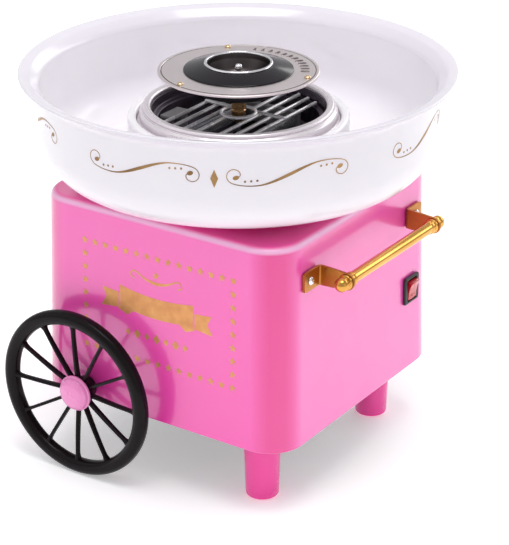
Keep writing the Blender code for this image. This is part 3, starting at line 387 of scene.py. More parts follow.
class Shader:
    """A Principled material with small helpers for procedural detail."""

    def __init__(self, name, colour, roughness, metallic=0.0, **extra):
        self.mat = bpy.data.materials.new(name)
        self.mat.use_nodes = True
        self.tree = self.mat.node_tree
        self.bsdf = self.tree.nodes["Principled BSDF"]
        self.colour = colour
        self.set("Base Color", (*colour, 1.0))
        self.set("Roughness", roughness)
        self.set("Metallic", metallic)
        for key, value in extra.items():
            self.set(key.replace("_", " "), value)
        self.coords = self.node("ShaderNodeTexCoord").outputs["Object"]
        self.normal = None

    def set(self, socket, value):
        self.bsdf.inputs[socket].default_value = value

    def node(self, kind, **props):
        node = self.tree.nodes.new(kind)
        for key, value in props.items():
            setattr(node, key, value)
        return node

    def link(self, a, b):
        self.tree.links.new(a, b)

    def maths(self, operation, *terms):
        """A maths node's result for one or two terms, each a number or a socket."""
        node = self.node("ShaderNodeMath", operation=operation)
        for socket, term in zip(node.inputs, terms):
            if isinstance(term, float):
                socket.default_value = term
            else:
                self.link(term, socket)
        return node.outputs[0]

    def split(self, vector):
        """The X, Y and Z sockets of a vector."""
        split = self.node("ShaderNodeSeparateXYZ")
        self.link(vector, split.inputs[0])
        return [split.outputs[axis] for axis in "XYZ"]

    def around(self, across, along):
        """Coordinates for turning marks round Z: fast across the radius, slow along them."""
        x, y, z = self.split(self.coords)
        flat = self.node("ShaderNodeCombineXYZ")
        self.link(x, flat.inputs["X"])
        self.link(y, flat.inputs["Y"])
        radius = self.node("ShaderNodeVectorMath", operation="LENGTH")
        self.link(flat.outputs[0], radius.inputs[0])
        out = self.node("ShaderNodeCombineXYZ")
        for source, factor, target in ((radius.outputs["Value"], across, "X"),
                                       (self.maths("ARCTAN2", y, x), along, "Y"),
                                       (z, across, "Z")):
            self.link(self.maths("MULTIPLY", source, factor), out.inputs[target])
        return out.outputs[0]

    def noise(self, scale, detail=3.0, roughness=0.55, vector=None):
        noise = self.node("ShaderNodeTexNoise")
        noise.inputs["Scale"].default_value = scale
        noise.inputs["Detail"].default_value = detail
        noise.inputs["Roughness"].default_value = roughness
        self.link(vector or self.coords, noise.inputs["Vector"])
        return noise.outputs["Fac"]

    def remap(self, value, low, high, from_low=0.3, from_high=0.7):
        ramp = self.node("ShaderNodeMapRange")
        for socket, number in (("From Min", from_low), ("From Max", from_high),
                               ("To Min", low), ("To Max", high)):
            ramp.inputs[socket].default_value = number
        self.link(value, ramp.inputs["Value"])
        return ramp.outputs["Result"]

    def tint(self, factor, other):
        """Mix the base colour towards another by a factor."""
        mix = self.node("ShaderNodeMix", data_type="RGBA")
        current = self.bsdf.inputs["Base Color"]
        if current.is_linked:
            self.link(current.links[0].from_socket, mix.inputs["A"])
        else:
            mix.inputs["A"].default_value = (*self.colour, 1.0)
        mix.inputs["B"].default_value = (*other, 1.0)
        self.link(factor, mix.inputs["Factor"])
        self.link(mix.outputs["Result"], current)
        return self

    def rough(self, value):
        self.link(value, self.bsdf.inputs["Roughness"])
        return self

    def bump(self, height, distance, strength=1.0):
        bump = self.node("ShaderNodeBump")
        bump.inputs["Distance"].default_value = distance
        bump.inputs["Strength"].default_value = strength
        self.link(height, bump.inputs["Height"])
        if self.normal is not None:
            self.link(self.normal, bump.inputs["Normal"])
        self.normal = bump.outputs["Normal"]
        self.link(self.normal, self.bsdf.inputs["Normal"])
        return self


def plastic(name, colour, shade, roughness=0.24, grain=0.004 * MM, **extra):
    """Glossy moulded plastic: faint cloudiness, orange peel and handling smears."""
    return plastic_shader(name, colour, shade, roughness, grain, **extra).mat


def plastic_shader(name, colour, shade, roughness, grain=0.004 * MM, **extra):
    """The shader behind plastic(), open to further tints."""
    s = Shader(name, colour, roughness, **extra)
    s.tint(s.remap(s.noise(9, 2), 0.0, 1.0), shade)
    s.rough(s.remap(s.noise(45, 4), roughness - 0.03, roughness + 0.05))
    s.bump(s.noise(420, 2), grain, 0.5)
    return s


def cart_pink_painted_light():
    """The housing's pink with painted light: painted shade deepens it low down on the side faces,
    at the corners and on the top faces, and a painted highlight makes the top edge pale.
    """
    s = plastic_shader("pink_plastic", (0.92, 0.09, 0.465), (0.91, 0.085, 0.45), 0.34,
                       grain=0.0015 * MM, Specular_IOR_Level=0.75, Coat_Weight=1.0,
                       Coat_IOR=1.55, Coat_Roughness=0.12)
    nx, ny, nz = s.split(s.node("ShaderNodeTexCoord").outputs["Normal"])
    height = s.split(s.coords)[2]
    # painted shade: the -Y and +Y faces turn a deeper pink towards the bottom
    low = s.remap(height, 0.75, 0.0, 0.05, 0.18)
    s.tint(s.maths("MULTIPLY", low, s.maths("MULTIPLY", ny, ny)), (0.90, 0.035, 0.40))
    # painted shade: the rounded vertical corners are tinted a deeper pink
    corner = s.maths("ABSOLUTE", s.maths("MULTIPLY", nx, ny))
    s.tint(s.remap(corner, 0.0, 1.0, 0.06, 0.46), (0.78, 0.001, 0.25))
    # painted highlight: the rounded top edge is tinted pale
    s.tint(s.remap(nz, 0.0, 0.9, 0.08, 0.45), (1.0, 0.55, 0.82))
    # painted shade: the top faces, under the bowl, are tinted a deeper, redder pink
    s.tint(s.remap(nz, 0.0, 1.0, 0.7, 0.97), (1.0, 0.05, 0.38))
    return s.mat


def bowl_white():
    """The bowl's white, with painted shade making it a little greyer on the thin flange around its
    rim.
    """
    s = plastic_shader("white_bowl_plastic", (0.825, 0.80, 0.84), (0.815, 0.785, 0.83), 0.22,
                       Subsurface_Weight=0.3, Subsurface_Radius=(0.012, 0.011, 0.013),
                       Subsurface_Scale=0.6, Coat_Weight=0.3, Coat_Roughness=0.08)
    height = s.split(s.coords)[2]
    # painted shade: the flange round the rim is tinted grey
    flange = s.remap(height, 0.0, 1.0, BOWL_HIGH.z - 11 * MM, BOWL_HIGH.z - 7 * MM)
    s.tint(flange, (0.68, 0.65, 0.70))
    return s.mat


def metal(name, colour, shade, roughness, lines=None, grain=0.004 * MM, **extra):
    """Bare or plated metal with faint smears, and turning lines if lines gives their pitch."""
    s = Shader(name, colour, roughness, 1.0, **extra)
    s.tint(s.remap(s.noise(30, 4), 0.0, 1.0), shade)
    if lines:
        marks = s.noise(1.0, 5, 0.7, s.around(lines["pitch"], 1.6))
        s.rough(s.remap(marks, roughness * 0.8, roughness * 1.25))
        s.bump(marks, lines.get("depth", grain), 0.6)
    else:
        s.rough(s.remap(s.noise(60, 5), roughness * 0.7, roughness * 1.5))
        s.bump(s.noise(700, 3), grain, 0.4)
    return s.mat


def make_materials():
    m = {}
    m["pink"] = cart_pink_painted_light()
    m["pink_round"] = plastic("pink_plastic_round", (0.95, 0.05, 0.37), (0.93, 0.045, 0.35), 0.24,
                              Subsurface_Weight=0.12, Subsurface_Radius=(0.012, 0.004, 0.008),
                              Subsurface_Scale=0.5, Coat_Weight=0.45, Coat_Roughness=0.1)
    m["pink_cap"] = plastic("pink_plastic_cap", (0.85, 0.26, 0.56), (0.84, 0.24, 0.54), 0.26,
                            Coat_Weight=0.6, Coat_Roughness=0.1)
    m["bowl"] = bowl_white()
    m["tower"] = metal("spun_aluminium", (0.78, 0.73, 0.755), (0.74, 0.69, 0.72), 0.3,
                       {"pitch": 900.0, "depth": 0.003 * MM}, Metallic=0.6)
    m["wheel"] = plastic("black_wheel_plastic", (0.006, 0.004, 0.005), (0.008, 0.006, 0.007), 0.2,
                         Specular_IOR_Level=0.12)
    # black plastic; also used for the black strips that are painted shade for slots
    m["black"] = plastic("black_plastic", (0.012, 0.011, 0.012), (0.02, 0.02, 0.02), 0.42)
    m["red"] = plastic("red_switch", (0.56, 0.008, 0.018), (0.48, 0.006, 0.014), 0.22,
                       Coat_Weight=0.4, Coat_Roughness=0.08)
    m["mark"] = plastic("printed_mark", (0.80, 0.42, 0.42), (0.74, 0.36, 0.36), 0.4)
    m["chrome"] = metal("chrome", (0.88, 0.87, 0.89), (0.8, 0.79, 0.81), 0.16)
    m["wire"] = metal("nickel_wire", (0.90, 0.88, 0.90), (0.84, 0.82, 0.84), 0.25, Metallic=0.35)
    m["steel"] = metal("plated_steel", (0.56, 0.56, 0.57), (0.45, 0.45, 0.46), 0.34)
    m["disc"] = metal("stainless_head", (0.82, 0.745, 0.745), (0.77, 0.70, 0.70), 0.34,
                      {"pitch": 1800.0, "depth": 0.002 * MM})
    # dark steel for the ticks; also the thin ring that is a painted shadow in the disc's groove
    m["ticks"] = metal("embossed_steel_and_painted_shadow", (0.24, 0.20, 0.20), (0.18, 0.15, 0.15), 0.22)
    m["cone"] = cone_material()
    m["cup"] = metal("dark_sugar_cup", (0.10, 0.085, 0.085), (0.06, 0.05, 0.05), 0.34,
                     {"pitch": 1800.0, "depth": 0.01 * MM})
    m["pan"] = metal("dark_pan", (0.09, 0.08, 0.085), (0.06, 0.052, 0.056), 0.38,
                     {"pitch": 1500.0, "depth": 0.012 * MM})
    m["gold"] = metal("polished_brass", (0.78, 0.43, 0.11), (0.66, 0.33, 0.07), 0.15)
    # painted reflection: a darker, redder copy of the bar's brass stands in for the dark
    # reflections on the flat bracket faces
    m["gold_plate"] = metal("bracket_brass_painted_reflection", (0.52, 0.22, 0.05), (0.40, 0.16, 0.035), 0.3)
    m["rivet"] = metal("pale_brass", (0.80, 0.62, 0.38), (0.7, 0.5, 0.28), 0.25)
    m["brass"] = metal("machined_brass", (0.55, 0.34, 0.16), (0.45, 0.27, 0.11), 0.28,
                       {"pitch": 1500.0, "depth": 0.01 * MM})
    m["foil"] = foil_material("gold_foil", (0.52, 0.31, 0.12), (0.15, 0.08, 0.03), 35)
    m["foil_light"] = foil_material("gold_foil_pale", (0.74, 0.36, 0.13), (0.62, 0.26, 0.10), 120)
    m["well"] = well_material()
    m["ceramic"] = ceramic_material()
    m["quartz"] = quartz_material()
    m["coil"] = metal("heater_coil", (0.30, 0.24, 0.20), (0.2, 0.15, 0.12), 0.4)
    m["rubber"] = rubber_material()
    m["rotor"] = metal("rotor_windings", (0.45, 0.20, 0.09), (0.25, 0.2, 0.18), 0.42)
    m["brown"] = plastic("brown_insulation", (0.15, 0.055, 0.03), (0.1, 0.04, 0.02), 0.5)
    m["blue"] = plastic("blue_insulation", (0.03, 0.10, 0.42), (0.02, 0.07, 0.3), 0.5)
    return m


def cone_material():
    """Glossy black enamel over spun steel, with the spinning lines just showing."""
    s = Shader("black_cone", (0.005, 0.004, 0.006), 0.2, Specular_IOR_Level=0.3)
    lines = s.noise(1.0, 4, 0.6, s.around(2200.0, 1.6))
    s.tint(s.remap(lines, 0.0, 1.0), (0.008, 0.006, 0.009))
    s.rough(s.remap(s.noise(60, 4), 0.12, 0.2))
    s.bump(lines, 0.008 * MM, 0.6)
    return s.mat


def foil_material(name, colour, shade, patches):
    """Hot-stamped gold foil with a slightly broken surface."""
    s = Shader(name, colour, 0.36, 0.6)
    s.tint(s.remap(s.noise(patches, 4), 0.0, 1.0), shade)
    s.rough(s.remap(s.noise(300, 3), 0.28, 0.5))
    s.bump(s.noise(1500, 2), 0.006 * MM, 0.5)
    return s.mat


def well_material():
    """Sheet steel with spun streaks, its colour painted shade: made very dark for the shade deep
    inside the tower.
    """
    # painted shade: the base colour is near black for the shade inside the tower
    s = Shader("well_steel_painted_shade", (0.085, 0.065, 0.09), 0.3, 1.0)
    s.tint(s.remap(s.noise(35, 5), 0.0, 1.0), (0.05, 0.038, 0.052))
    streaks = s.noise(1.0, 4, 0.6, s.around(900.0, 5.0))
    s.rough(s.remap(streaks, 0.25, 0.5))
    s.bump(streaks, 0.02 * MM, 0.5)
    return s.mat


def ceramic_material():
    """Matt grey ceramic with dark specks."""
    s = Shader("unglazed_ceramic", (0.36, 0.34, 0.355), 0.62)
    s.tint(s.remap(s.noise(60, 6), 0.0, 1.0), (0.29, 0.27, 0.285))
    s.tint(s.remap(s.noise(900, 2), 0.0, 0.6, 0.56, 0.72), (0.18, 0.17, 0.18))
    s.bump(s.noise(800, 4), 0.03 * MM, 0.6)
    return s.mat


def quartz_material():
    """Clear tube glass, a little wavy and smeared."""
    s = Shader("quartz_glass", (0.93, 0.95, 0.98), 0.05, Transmission_Weight=0.85, IOR=1.46)
    s.rough(s.remap(s.noise(200, 4), 0.03, 0.14))
    s.bump(s.noise(70, 2), 0.02 * MM, 0.4)
    return s.mat


def rubber_material():
    """Black rubber with a dusty, finely rough skin."""
    s = Shader("matt_rubber", (0.018, 0.018, 0.019), 0.78)
    s.tint(s.remap(s.noise(120, 5), 0.0, 1.0), (0.035, 0.034, 0.034))
    s.bump(s.noise(1100, 3), 0.03 * MM, 0.7)
    return s.mat


MAT = make_materials()


# --- housing, base and feet

def half_at(z):
    """Half the drafted housing's width at a height."""
    share = (z - BODY_BASE_Z) / (BODY_TOP_Z - BODY_BASE_Z)
    return HALF_BASE + (HALF_TOP - HALF_BASE) * share


def square_ring(half, corner_r, z, steps=20):
    """One level of the housing: a square with round corners."""
    ring = []
    for quarter in range(4):
        turn = math.radians(90 * quarter)
        offset = Vector((half - corner_r, half - corner_r)) @ Matrix.Rotation(-turn, 2)
        for k in range(steps):
            angle = turn + math.radians(90 * k / (steps - 1))
            ring.append(Vector((offset.x + corner_r * math.cos(angle),
                                offset.y + corner_r * math.sin(angle), z)))
    return ring


def round_ring(like, radius, z):
    """A circle whose points lie in the directions of an equal square ring's points."""
    return [Vector((x, y, z)) for x, y in circle(radius, len(like), 0.5)]


def make_housing():
    """The pink shell: drafted walls, rounded top edge, seat ring, and its holes."""
    base_edge = 1.6 * MM
    rings = []
    for c, s in quarter(4):
        inset = base_edge * s
        rings.append(square_ring(half_at(BODY_BASE_Z) - inset, CORNER_R - inset,
                                 BODY_BASE_Z + base_edge * c))
    for c, s in quarter(8):
        z = BODY_TOP_Z - TOP_EDGE_R * s
        inset = TOP_EDGE_R * c
        rings.append(square_ring(half_at(z) - inset, CORNER_R - inset, z))
    like = rings[0]
    foot_r, lip_r = 2.0 * MM, 1.2 * MM
    rings += [round_ring(like, SEAT_R + foot_r * s, BODY_TOP_Z + foot_r * c)
              for c, s in quarter(4)]
    rings += [round_ring(like, SEAT_R - lip_r * c, SEAT_Z - lip_r * s) for c, s in quarter(4)]
    ceiling = BODY_TOP_Z - WALL
    rings += [round_ring(like, SEAT_BORE_R, SEAT_Z), round_ring(like, SEAT_BORE_R, SEAT_Z - WALL),
              round_ring(like, SEAT_R - WALL, SEAT_Z - WALL),
              round_ring(like, SEAT_R - WALL, ceiling),
              square_ring(half_at(ceiling) - WALL, CORNER_R - WALL, ceiling),
              square_ring(half_at(BODY_BASE_Z) - WALL, CORNER_R - WALL, BODY_BASE_Z)]
    shell = mesh_piece("housing_skin", merge_seam(loft(rings + [rings[0]], caps=False)),
                       "pink", "body", ["housing_shell"])
    low, high = SWITCH_LOW, SWITCH_HIGH
    boolean(shell, box_bm((low.x + 12 * MM, low.y + 2.0 * MM, low.z + 1.0 * MM),
                          (high.x + 2 * MM, high.y - 2.0 * MM, high.z - 1.0 * MM)), "DIFFERENCE")
    boolean(shell, rod(AXLE_HOLE_R, -0.12, 0.12, WHEEL_X, WHEEL_R), "DIFFERENCE")
    inlet = (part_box("cord_inlet")[0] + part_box("cord_inlet")[1]) / 2
    boolean(shell, rod(INLET_HOLE_R, 0.09, 0.12, inlet.x, inlet.z), "DIFFERENCE")
    weight_normals(shell)


def make_feet():
    """Two tapered feet at the handle end, each on a rubber pad."""
    for side in ("left", "right"):
        centre = (*box_middle("foot_" + side)[:2], 0)
        top = BODY_BASE_Z / MM
        foot = [(0, 3.1, 0), (7.9, 3.1, 0), (7.9, 0.6, 0.2), (11.6, 0.6, 2.4), (13.25, top, 0.35),
                (4.0, top, 0), (4.0, top + 5.0, 0.8), (0, top + 5.0, 0)]
        turned_piece("foot_%s_shape" % side, foot, MEDIUM, "pink_round", "body",
                     ["foot_" + side], centre)
        pad = [(0, 0.5, 0), (1.6, 0.5, 0.2), (2.2, 0.0, 0.2), (6.8, 0.0, 0.5), (7.45, 0.6, 0.3),
               (7.45, 2.8, 0), (0, 2.8, 0)]
        turned_piece("foot_pad_%s_shape" % side, pad, SMALL, "rubber", "body",
                     ["foot_pad_" + side], centre)


# --- wheels

def blade_section(centre, across, deep, half_w, half_d, corner=0.8, steps=3):
    """A rounded rectangle in the plane of two directions."""
    r = min(half_w, half_d) * corner
    return [centre + across * u + deep * v for u, v in rounded_rect(half_w, half_d, r, steps)]


def spoke(side, index):
    """A blade that flares into the hub and into the rim."""
    turn = Matrix.Rotation(math.tau * index / SPOKES, 3, "Y")
    deep = Vector((0, 1, 0))
    across = turn @ Vector((1, 0, 0))
    sections = []
    hub_r, rim_r = 6.5, WHEEL_R / MM - 9.6
    for k in range(15):
        share = k / 14
        r = hub_r + (rim_r - hub_r) * share
        near_hub = max(0.0, 1 - (r - hub_r) / 7.0)
        near_rim = max(0.0, 1 - (rim_r - r) / 5.0)
        half_w = 1.15 + 1.3 * near_hub ** 2 + 1.1 * near_rim ** 2
        half_d = 2.3 - 0.5 * share + 0.9 * near_rim ** 2
        dish = 3.9 * (1 - share) ** 1.6
        centre = (Vector((WHEEL_X, side * (WHEEL_Y - dish * MM), WHEEL_R))
                  + turn @ Vector((0, 0, r * MM)))
        sections.append(blade_section(centre, across, deep, half_w * MM, half_d * MM))
    return loft(sections)


def make_wheel(name, side):
    """A cart wheel, moulded in one with spokes and hub, and its pink cap."""
    axis = "Y" if side > 0 else "-Y"
    centre = (WHEEL_X, 0, WHEEL_R)
    middle = WHEEL_R - RIM_R
    section = []
    power = 0.86        # below 1: a slightly squared section
    for k in range(28):
        angle = math.tau * k / 28
        c, s = math.cos(angle), math.sin(angle)
        section.append((middle + RIM_R * math.copysign(abs(c) ** power, c),
                        WHEEL_Y + RIM_R * math.copysign(abs(s) ** power, s)))
    wheel = mesh_piece("wheel_%s_shape" % name, lathe(section, FINE, centre, axis), "wheel",
                       "wheel_" + name, ["wheel_" + name], 50)
    hub = [(3.4, 105.5, 0), (8.0, 105.5, 0.6), (9.2, 112.0, 2.0), (11.3, 114.0, 1.0),
           (11.3, 118.6, 0.4), (3.4, 118.6, 0)]
    boolean(wheel, joined(*[spoke(side, k) for k in range(SPOKES)]), "UNION")
    boolean(wheel, turned(hub, MEDIUM, centre, axis), "UNION")
    cap = [(0, 122.0, 0), (8.1, 122.0, 0.4), (8.1, 118.9, 0), (13.0, 118.9, 0.3),
           (13.0, 120.3, 0.5), (12.0, 121.0, 0.35), (11.4, 122.8, 1.4), (8.6, 125.0, 5.0),
           (4.0, 126.15, 8.0), (0, 126.3, 0)]
    turned_piece("hub_cap_%s_shape" % name, cap, MEDIUM, "pink_cap", "wheel_" + name,
                 ["hub_cap_" + name], centre, axis)


# --- bowl and its ornament

def make_bowl():
    """The loose bowl, with its folded inner collar."""
    low = BOWL_LOW.z / MM
    top = BOWL_HIGH.z / MM
    wall, lip = BOWL_WALL_R / MM, BOWL_R / MM
    wall_low = wall_radius(BOWL_LOW.z) / MM
    t = BOWL_T / MM
    outline = [(74.7, low, 0.5), (wall_low, low, BOWL_CORNER_R / MM), (wall, top - 9.6, 6.0),
               (lip - 6.5, top - 4.4, 6.0), (lip, top - 2.2, 1.0), (lip - 0.1, top - 0.1, 0.9),
               (lip - 7.6, top - 1.9, 5.0), (wall - t, top - 8.0, 6.0),
               (wall_low - t, low + t, BOWL_CORNER_R / MM - t), (76.7, low + t, 3.0),
               (76.7, 244.2, 2.2), (70.6, 244.2, 2.2), (70.6, 212.0, 0.3), (72.6, 212.0, 0.3),
               (72.6, 242.2, 0.3), (74.7, 242.2, 0.3)]
    mesh_piece("bowl_shape", lathe(fillet(scaled(outline), step_deg=8), 240), "bowl", "bowl",
               ["bowl"], 50)


def wall_radius(z):
    """The bowl's outer radius at a height on its straight wall."""
    low = BOWL_LOW.z + BOWL_CORNER_R
    top = BOWL_HIGH.z - 9.6 * MM
    share = (z - low) / (top - low)
    return BOWL_WALL_LOW_R + (BOWL_WALL_R - BOWL_WALL_LOW_R) * share


def on_bowl(middle_deg):
    """Place print on the bowl's wall: s mm to the right and t mm up from a spot."""
    def place(s, t, lift):
        z = ORNAMENT_Z + t * MM
        angle = math.radians(middle_deg) + s * MM / BOWL_WALL_R
        r = wall_radius(z) + lift
        return Vector((r * math.cos(angle), r * math.sin(angle), z))
    return place


def on_side(side):
    """Place print on the drafted wall that faces -Y or +Y, read from outside."""
    def place(s, t, lift):
        z = t * MM
        return Vector((-side * s * MM, side * (half_at(z) + lift), z))
    return place


def print_area(place, outline):
    """A closed flat patch of foil, standing a hair off its surface."""
    return loft([[place(x, y, -FOIL) for x, y in outline], [place(x, y, FOIL) for x, y in outline]])


def print_stroke(place, path, widths):
    """A foil stroke of changing width along a 2D path."""
    sections = []
    for i, point in enumerate(path):
        ahead = (path[min(i + 1, len(path) - 1)] - path[max(i - 1, 0)]).normalized()
        side = Vector((-ahead.y, ahead.x)) * widths[i] / 2
        a, b = point + side, point - side
        sections.append([place(a.x, a.y, -FOIL), place(b.x, b.y, -FOIL), place(b.x, b.y, FOIL),
                         place(a.x, a.y, FOIL)])
    return loft(sections)


def ellipse(x, y, rx, ry, tilt=0.0, steps=20):
    """The outline of an ellipse, turned by tilt."""
    points = []
    for k in range(steps):
        u = rx * math.cos(math.tau * k / steps)
        v = ry * math.sin(math.tau * k / steps)
        points.append((x + u * math.cos(tilt) - v * math.sin(tilt),
                       y + u * math.sin(tilt) + v * math.cos(tilt)))
    return points


def scroll(place, flip=1):
    """A long S stroke with a curled eye at each end and three dots beside each curl."""
    half = [(-33.4, -1.5), (-31.6, 0.9), (-32.6, 3.5), (-35.8, 4.7), (-38.9, 3.2), (-40.2, -0.2),
            (-38.6, -3.6), (-34.6, -5.6), (-27.5, -6.6), (-19.0, -6.4), (-10.5, -4.2)]
    points = [Vector(p) for p in half] + [Vector((0, 0))] + [-Vector(p) for p in reversed(half)]
    path = smooth_path([Vector((p.x, p.y * flip)) for p in points], 6)
    widths = [0.55 + 1.55 * math.exp(-(p.x / 15.5) ** 2) for p in path]
    parts = [print_stroke(place, path, widths)]
    for sign in (-1, 1):
        parts.append(print_area(place, ellipse(sign * 34.3, sign * 1.0 * flip, 2.1, 1.45,
                                               math.radians(20) * flip)))
        for dot in range(3):
            parts.append(print_area(place, ellipse(sign * (28.6 - 3.9 * dot),
                                                   sign * (3.6 - 0.25 * dot) * flip, 0.78, 0.78)))
    return parts


def make_bowl_ornament():
    """Four pairs of scrolls with a diamond between them."""
    parts = []
    first_deg = -62.1
    for k in range(4):
        middle = first_deg + 90 * k
        parts += scroll(on_bowl(middle - 20.6))
        parts += scroll(on_bowl(middle + 19.9))
        parts.append(print_area(on_bowl(middle), [(0, -8.0), (2.5, -1.8), (0, 4.4), (-2.5, -1.8)]))
    mesh_piece("bowl_print", joined(*parts), "foil", "bowl", sharp=20)


# --- side print

def star(x, y, outer=3.0, inner=1.35, points=5):
    """The outline of a star with a point upward."""
    outline = []
    for k in range(points * 2):
        r = inner if k % 2 else outer
        angle = math.pi / 2 + math.pi * k / points
        outline.append((x + r * math.cos(angle), y + r * math.sin(angle)))
    return outline


def ribbon_band(place, x0, x1, bottom, top, sag, steps=16):
    """A strip whose ends curl up by sag over its half length."""
    reach = max(abs(x0), abs(x1))
    edge = []
    for k in range(steps + 1):
        x = x0 + (x1 - x0) * k / steps
        edge.append((x, sag * (x / reach) ** 2))
    outline = [(x, bottom + lift) for x, lift in edge] + [(x, top + lift)
                                                          for x, lift in reversed(edge)]
    return print_area(place, outline)


def star_border(place):
    """Small stars along the sides of a rectangle."""
    left, right, low, high = -58.0, 64.5, 93.5, 171.0
    across, down = 15, 9
    spots = [(i, j) for i in range(across) for j in range(down)
             if i in (0, across - 1) or j in (0, down - 1)]
    return [print_area(place, star(left + (right - left) * i / (across - 1),
                                   low + (high - low) * j / (down - 1)))
            for i, j in spots]


def ribbon(place):
    """A blank curved ribbon with a folded, notched tail at each end."""
    z = 128.0
    parts = [ribbon_band(place, -30.5, 30.5, z - 1.0, z + 14.0, 3.2)]
    tail = [(31.6, 0.2), (31.6, 11.4), (45.5, 12.6), (42.0, 6.0), (46.5, -1.4)]
    fold = [(31.0, 2.2), (31.8, -0.9), (24.5, -3.6), (19.0, 0.2)]
    for sign in (-1, 1):
        for outline in (tail, fold):
            parts.append(print_area(place, [(sign * x, z + y) for x, y in outline]))
    return parts


def diamonds(place):
    """A row of diamonds under the ribbon, large and small in turn."""
    z, pitch = 112.0, 8.0
    parts = []
    for k in range(-3, 4):
        size = 2.6 if k % 2 else 3.6
        parts.append(print_area(place, [(k * pitch, z - size), (k * pitch + size * 0.8, z),
                                        (k * pitch, z + size), (k * pitch - size * 0.8, z)]))
    return parts


def flourish(place):
    """A curled stroke and a star over the ribbon."""
    half = [(-18, 153), (-21, 155), (-20, 158), (-16, 158), (-9, 154.5)]
    path = smooth_path([Vector(p) for p in half + [(0, 153)] + [(-x, z) for x, z in half[::-1]]], 6)
    widths = [1.0 + 1.3 * math.exp(-(p.x / 9.0) ** 2) for p in path]
    return [print_stroke(place, path, widths), print_area(place, star(0, 158.8))]


def make_side_print(name, side):
    """A border of small stars round a blank ribbon and plain flourishes."""
    place = on_side(side)

    def shifted(s, t, lift):
        return place(2.0 + s, t, lift)

    parts = star_border(place) + ribbon(shifted) + diamonds(shifted) + flourish(shifted)
    mesh_piece(name, joined(*parts), "foil_light", "body", sharp=20)


# --- tower, heater and guard

def make_tower():
    """The spun tower under the bowl: foot, wall, bead and rolled lip."""
    low, top = TOWER_LOW.z / MM, TOWER_HIGH.z / MM
    outline = [(65.7, low, 0), (71.5, low, 0.3), (71.5, low + 2.0, 0.5), (68.4, low + 2.4, 1.5),
               (68.4, 236.6, 1.0), (70.2, 238.0, 0.8), (70.2, 240.6, 1.2), (68.4, 241.8, 1.0),
               (68.4, top - 4.4, 2.2), (65.5, top - 2.6, 0.25), (66.3, top - 1.6, 0.6),
               (65.4, top, 1.2), (61.6, top, 1.3), (60.6, top - 1.2, 0.9),
               (60.6, top - 3.2, 0.3), (65.6, top - 3.2, 0.2)]
    turned_piece("tower_shape", outline, FINE, "tower", "body", ["tower_collar"])


def make_well():
    """The reflector dish inside the tower; a row of black strips on its wall is painted shade for
    its slots.
    """
    rim = 247.8
    outline = [(65.2, rim, 0.2), (60.2, rim, 0.8), (59.2, 241.6, 0.8), (55.7, 240.9, 0.9),
               (52.7, 228.0, 1.5), (47.4, 223.7, 4.0), (9.2, 223.7, 1.4), (7.5, 228.1, 0.5),
               (6.3, 228.1, 0.4), (6.3, 222.4, 0.4), (48.1, 222.4, 4.0), (53.9, 227.4, 1.5),
               (56.6, 239.8, 0.9), (60.2, 240.5, 0.9), (61.3, 246.7, 0.6), (65.2, 246.7, 0.2)]
    turned_piece("well_shape", outline, FINE, "well", "body", ["heater_well"])
    # painted shade: black strips stand for the openings of the slots
    slots = wall_slots(44, 0.5, [(230.5, 53.25, 0.5), (231.2, 53.42, 1.0), (237.0, 54.75, 1.0),
                                 (237.7, 54.92, 0.5)], 0.12)
    mesh_piece("well_slots_painted_shade", slots, "black", "body")


def make_quartz_tube(name):
    """A glass tube with the heating coil inside."""
    low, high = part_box("quartz_tube_" + name)
    centre = ((low.x + high.x) / 2, 0, (low.z + high.z) / 2)
    end = high.y / MM
    wall = [(3.9, -end, 0.3), (5.0, -end, 0.4), (5.0, end, 0.4), (3.9, end, 0.3)]
    turned_piece("quartz_%s_shape" % name, wall, SMALL, "quartz", "body",
                 ["quartz_tube_" + name], centre, "Y")
    turns, per_turn, coil_r, wire_r = 26, 14, 2.7 * MM, 0.42 * MM
    path = []
    for k in range(turns * per_turn + 1):
        angle = math.tau * k / per_turn
        y = low.y * 0.92 + (high.y - low.y) * 0.92 * k / (turns * per_turn)
        path.append(Vector((centre[0] + coil_r * math.cos(angle), y,
                            centre[2] + coil_r * math.sin(angle))))
    mesh_piece("heater_coil_" + name, tube(path, wire_r, 6), "coil", "body")


def make_heater():
    for name in ("left", "right"):
        make_quartz_tube(name)
    for name in ("left", "right"):
        low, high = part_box("tube_holder_" + name)
        mesh_piece("tube_holder_%s_shape" % name, box_bm(low, high, 0.9 * MM), "ceramic", "body",
                   ["tube_holder_" + name])
    low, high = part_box("heater_terminal")
    plate = box_bm((low.x, low.y, high.z - 2.6 * MM), high, 0.5 * MM)
    stem = box_bm((low.x + 3.1 * MM, low.y + 11.4 * MM, low.z),
                  (high.x - 1.5 * MM, high.y - 1.0 * MM, high.z - 2.0 * MM), 0.6 * MM)
    mesh_piece("heater_terminal_shape", joined(plate, stem), "ceramic", "body",
               ["heater_terminal"])


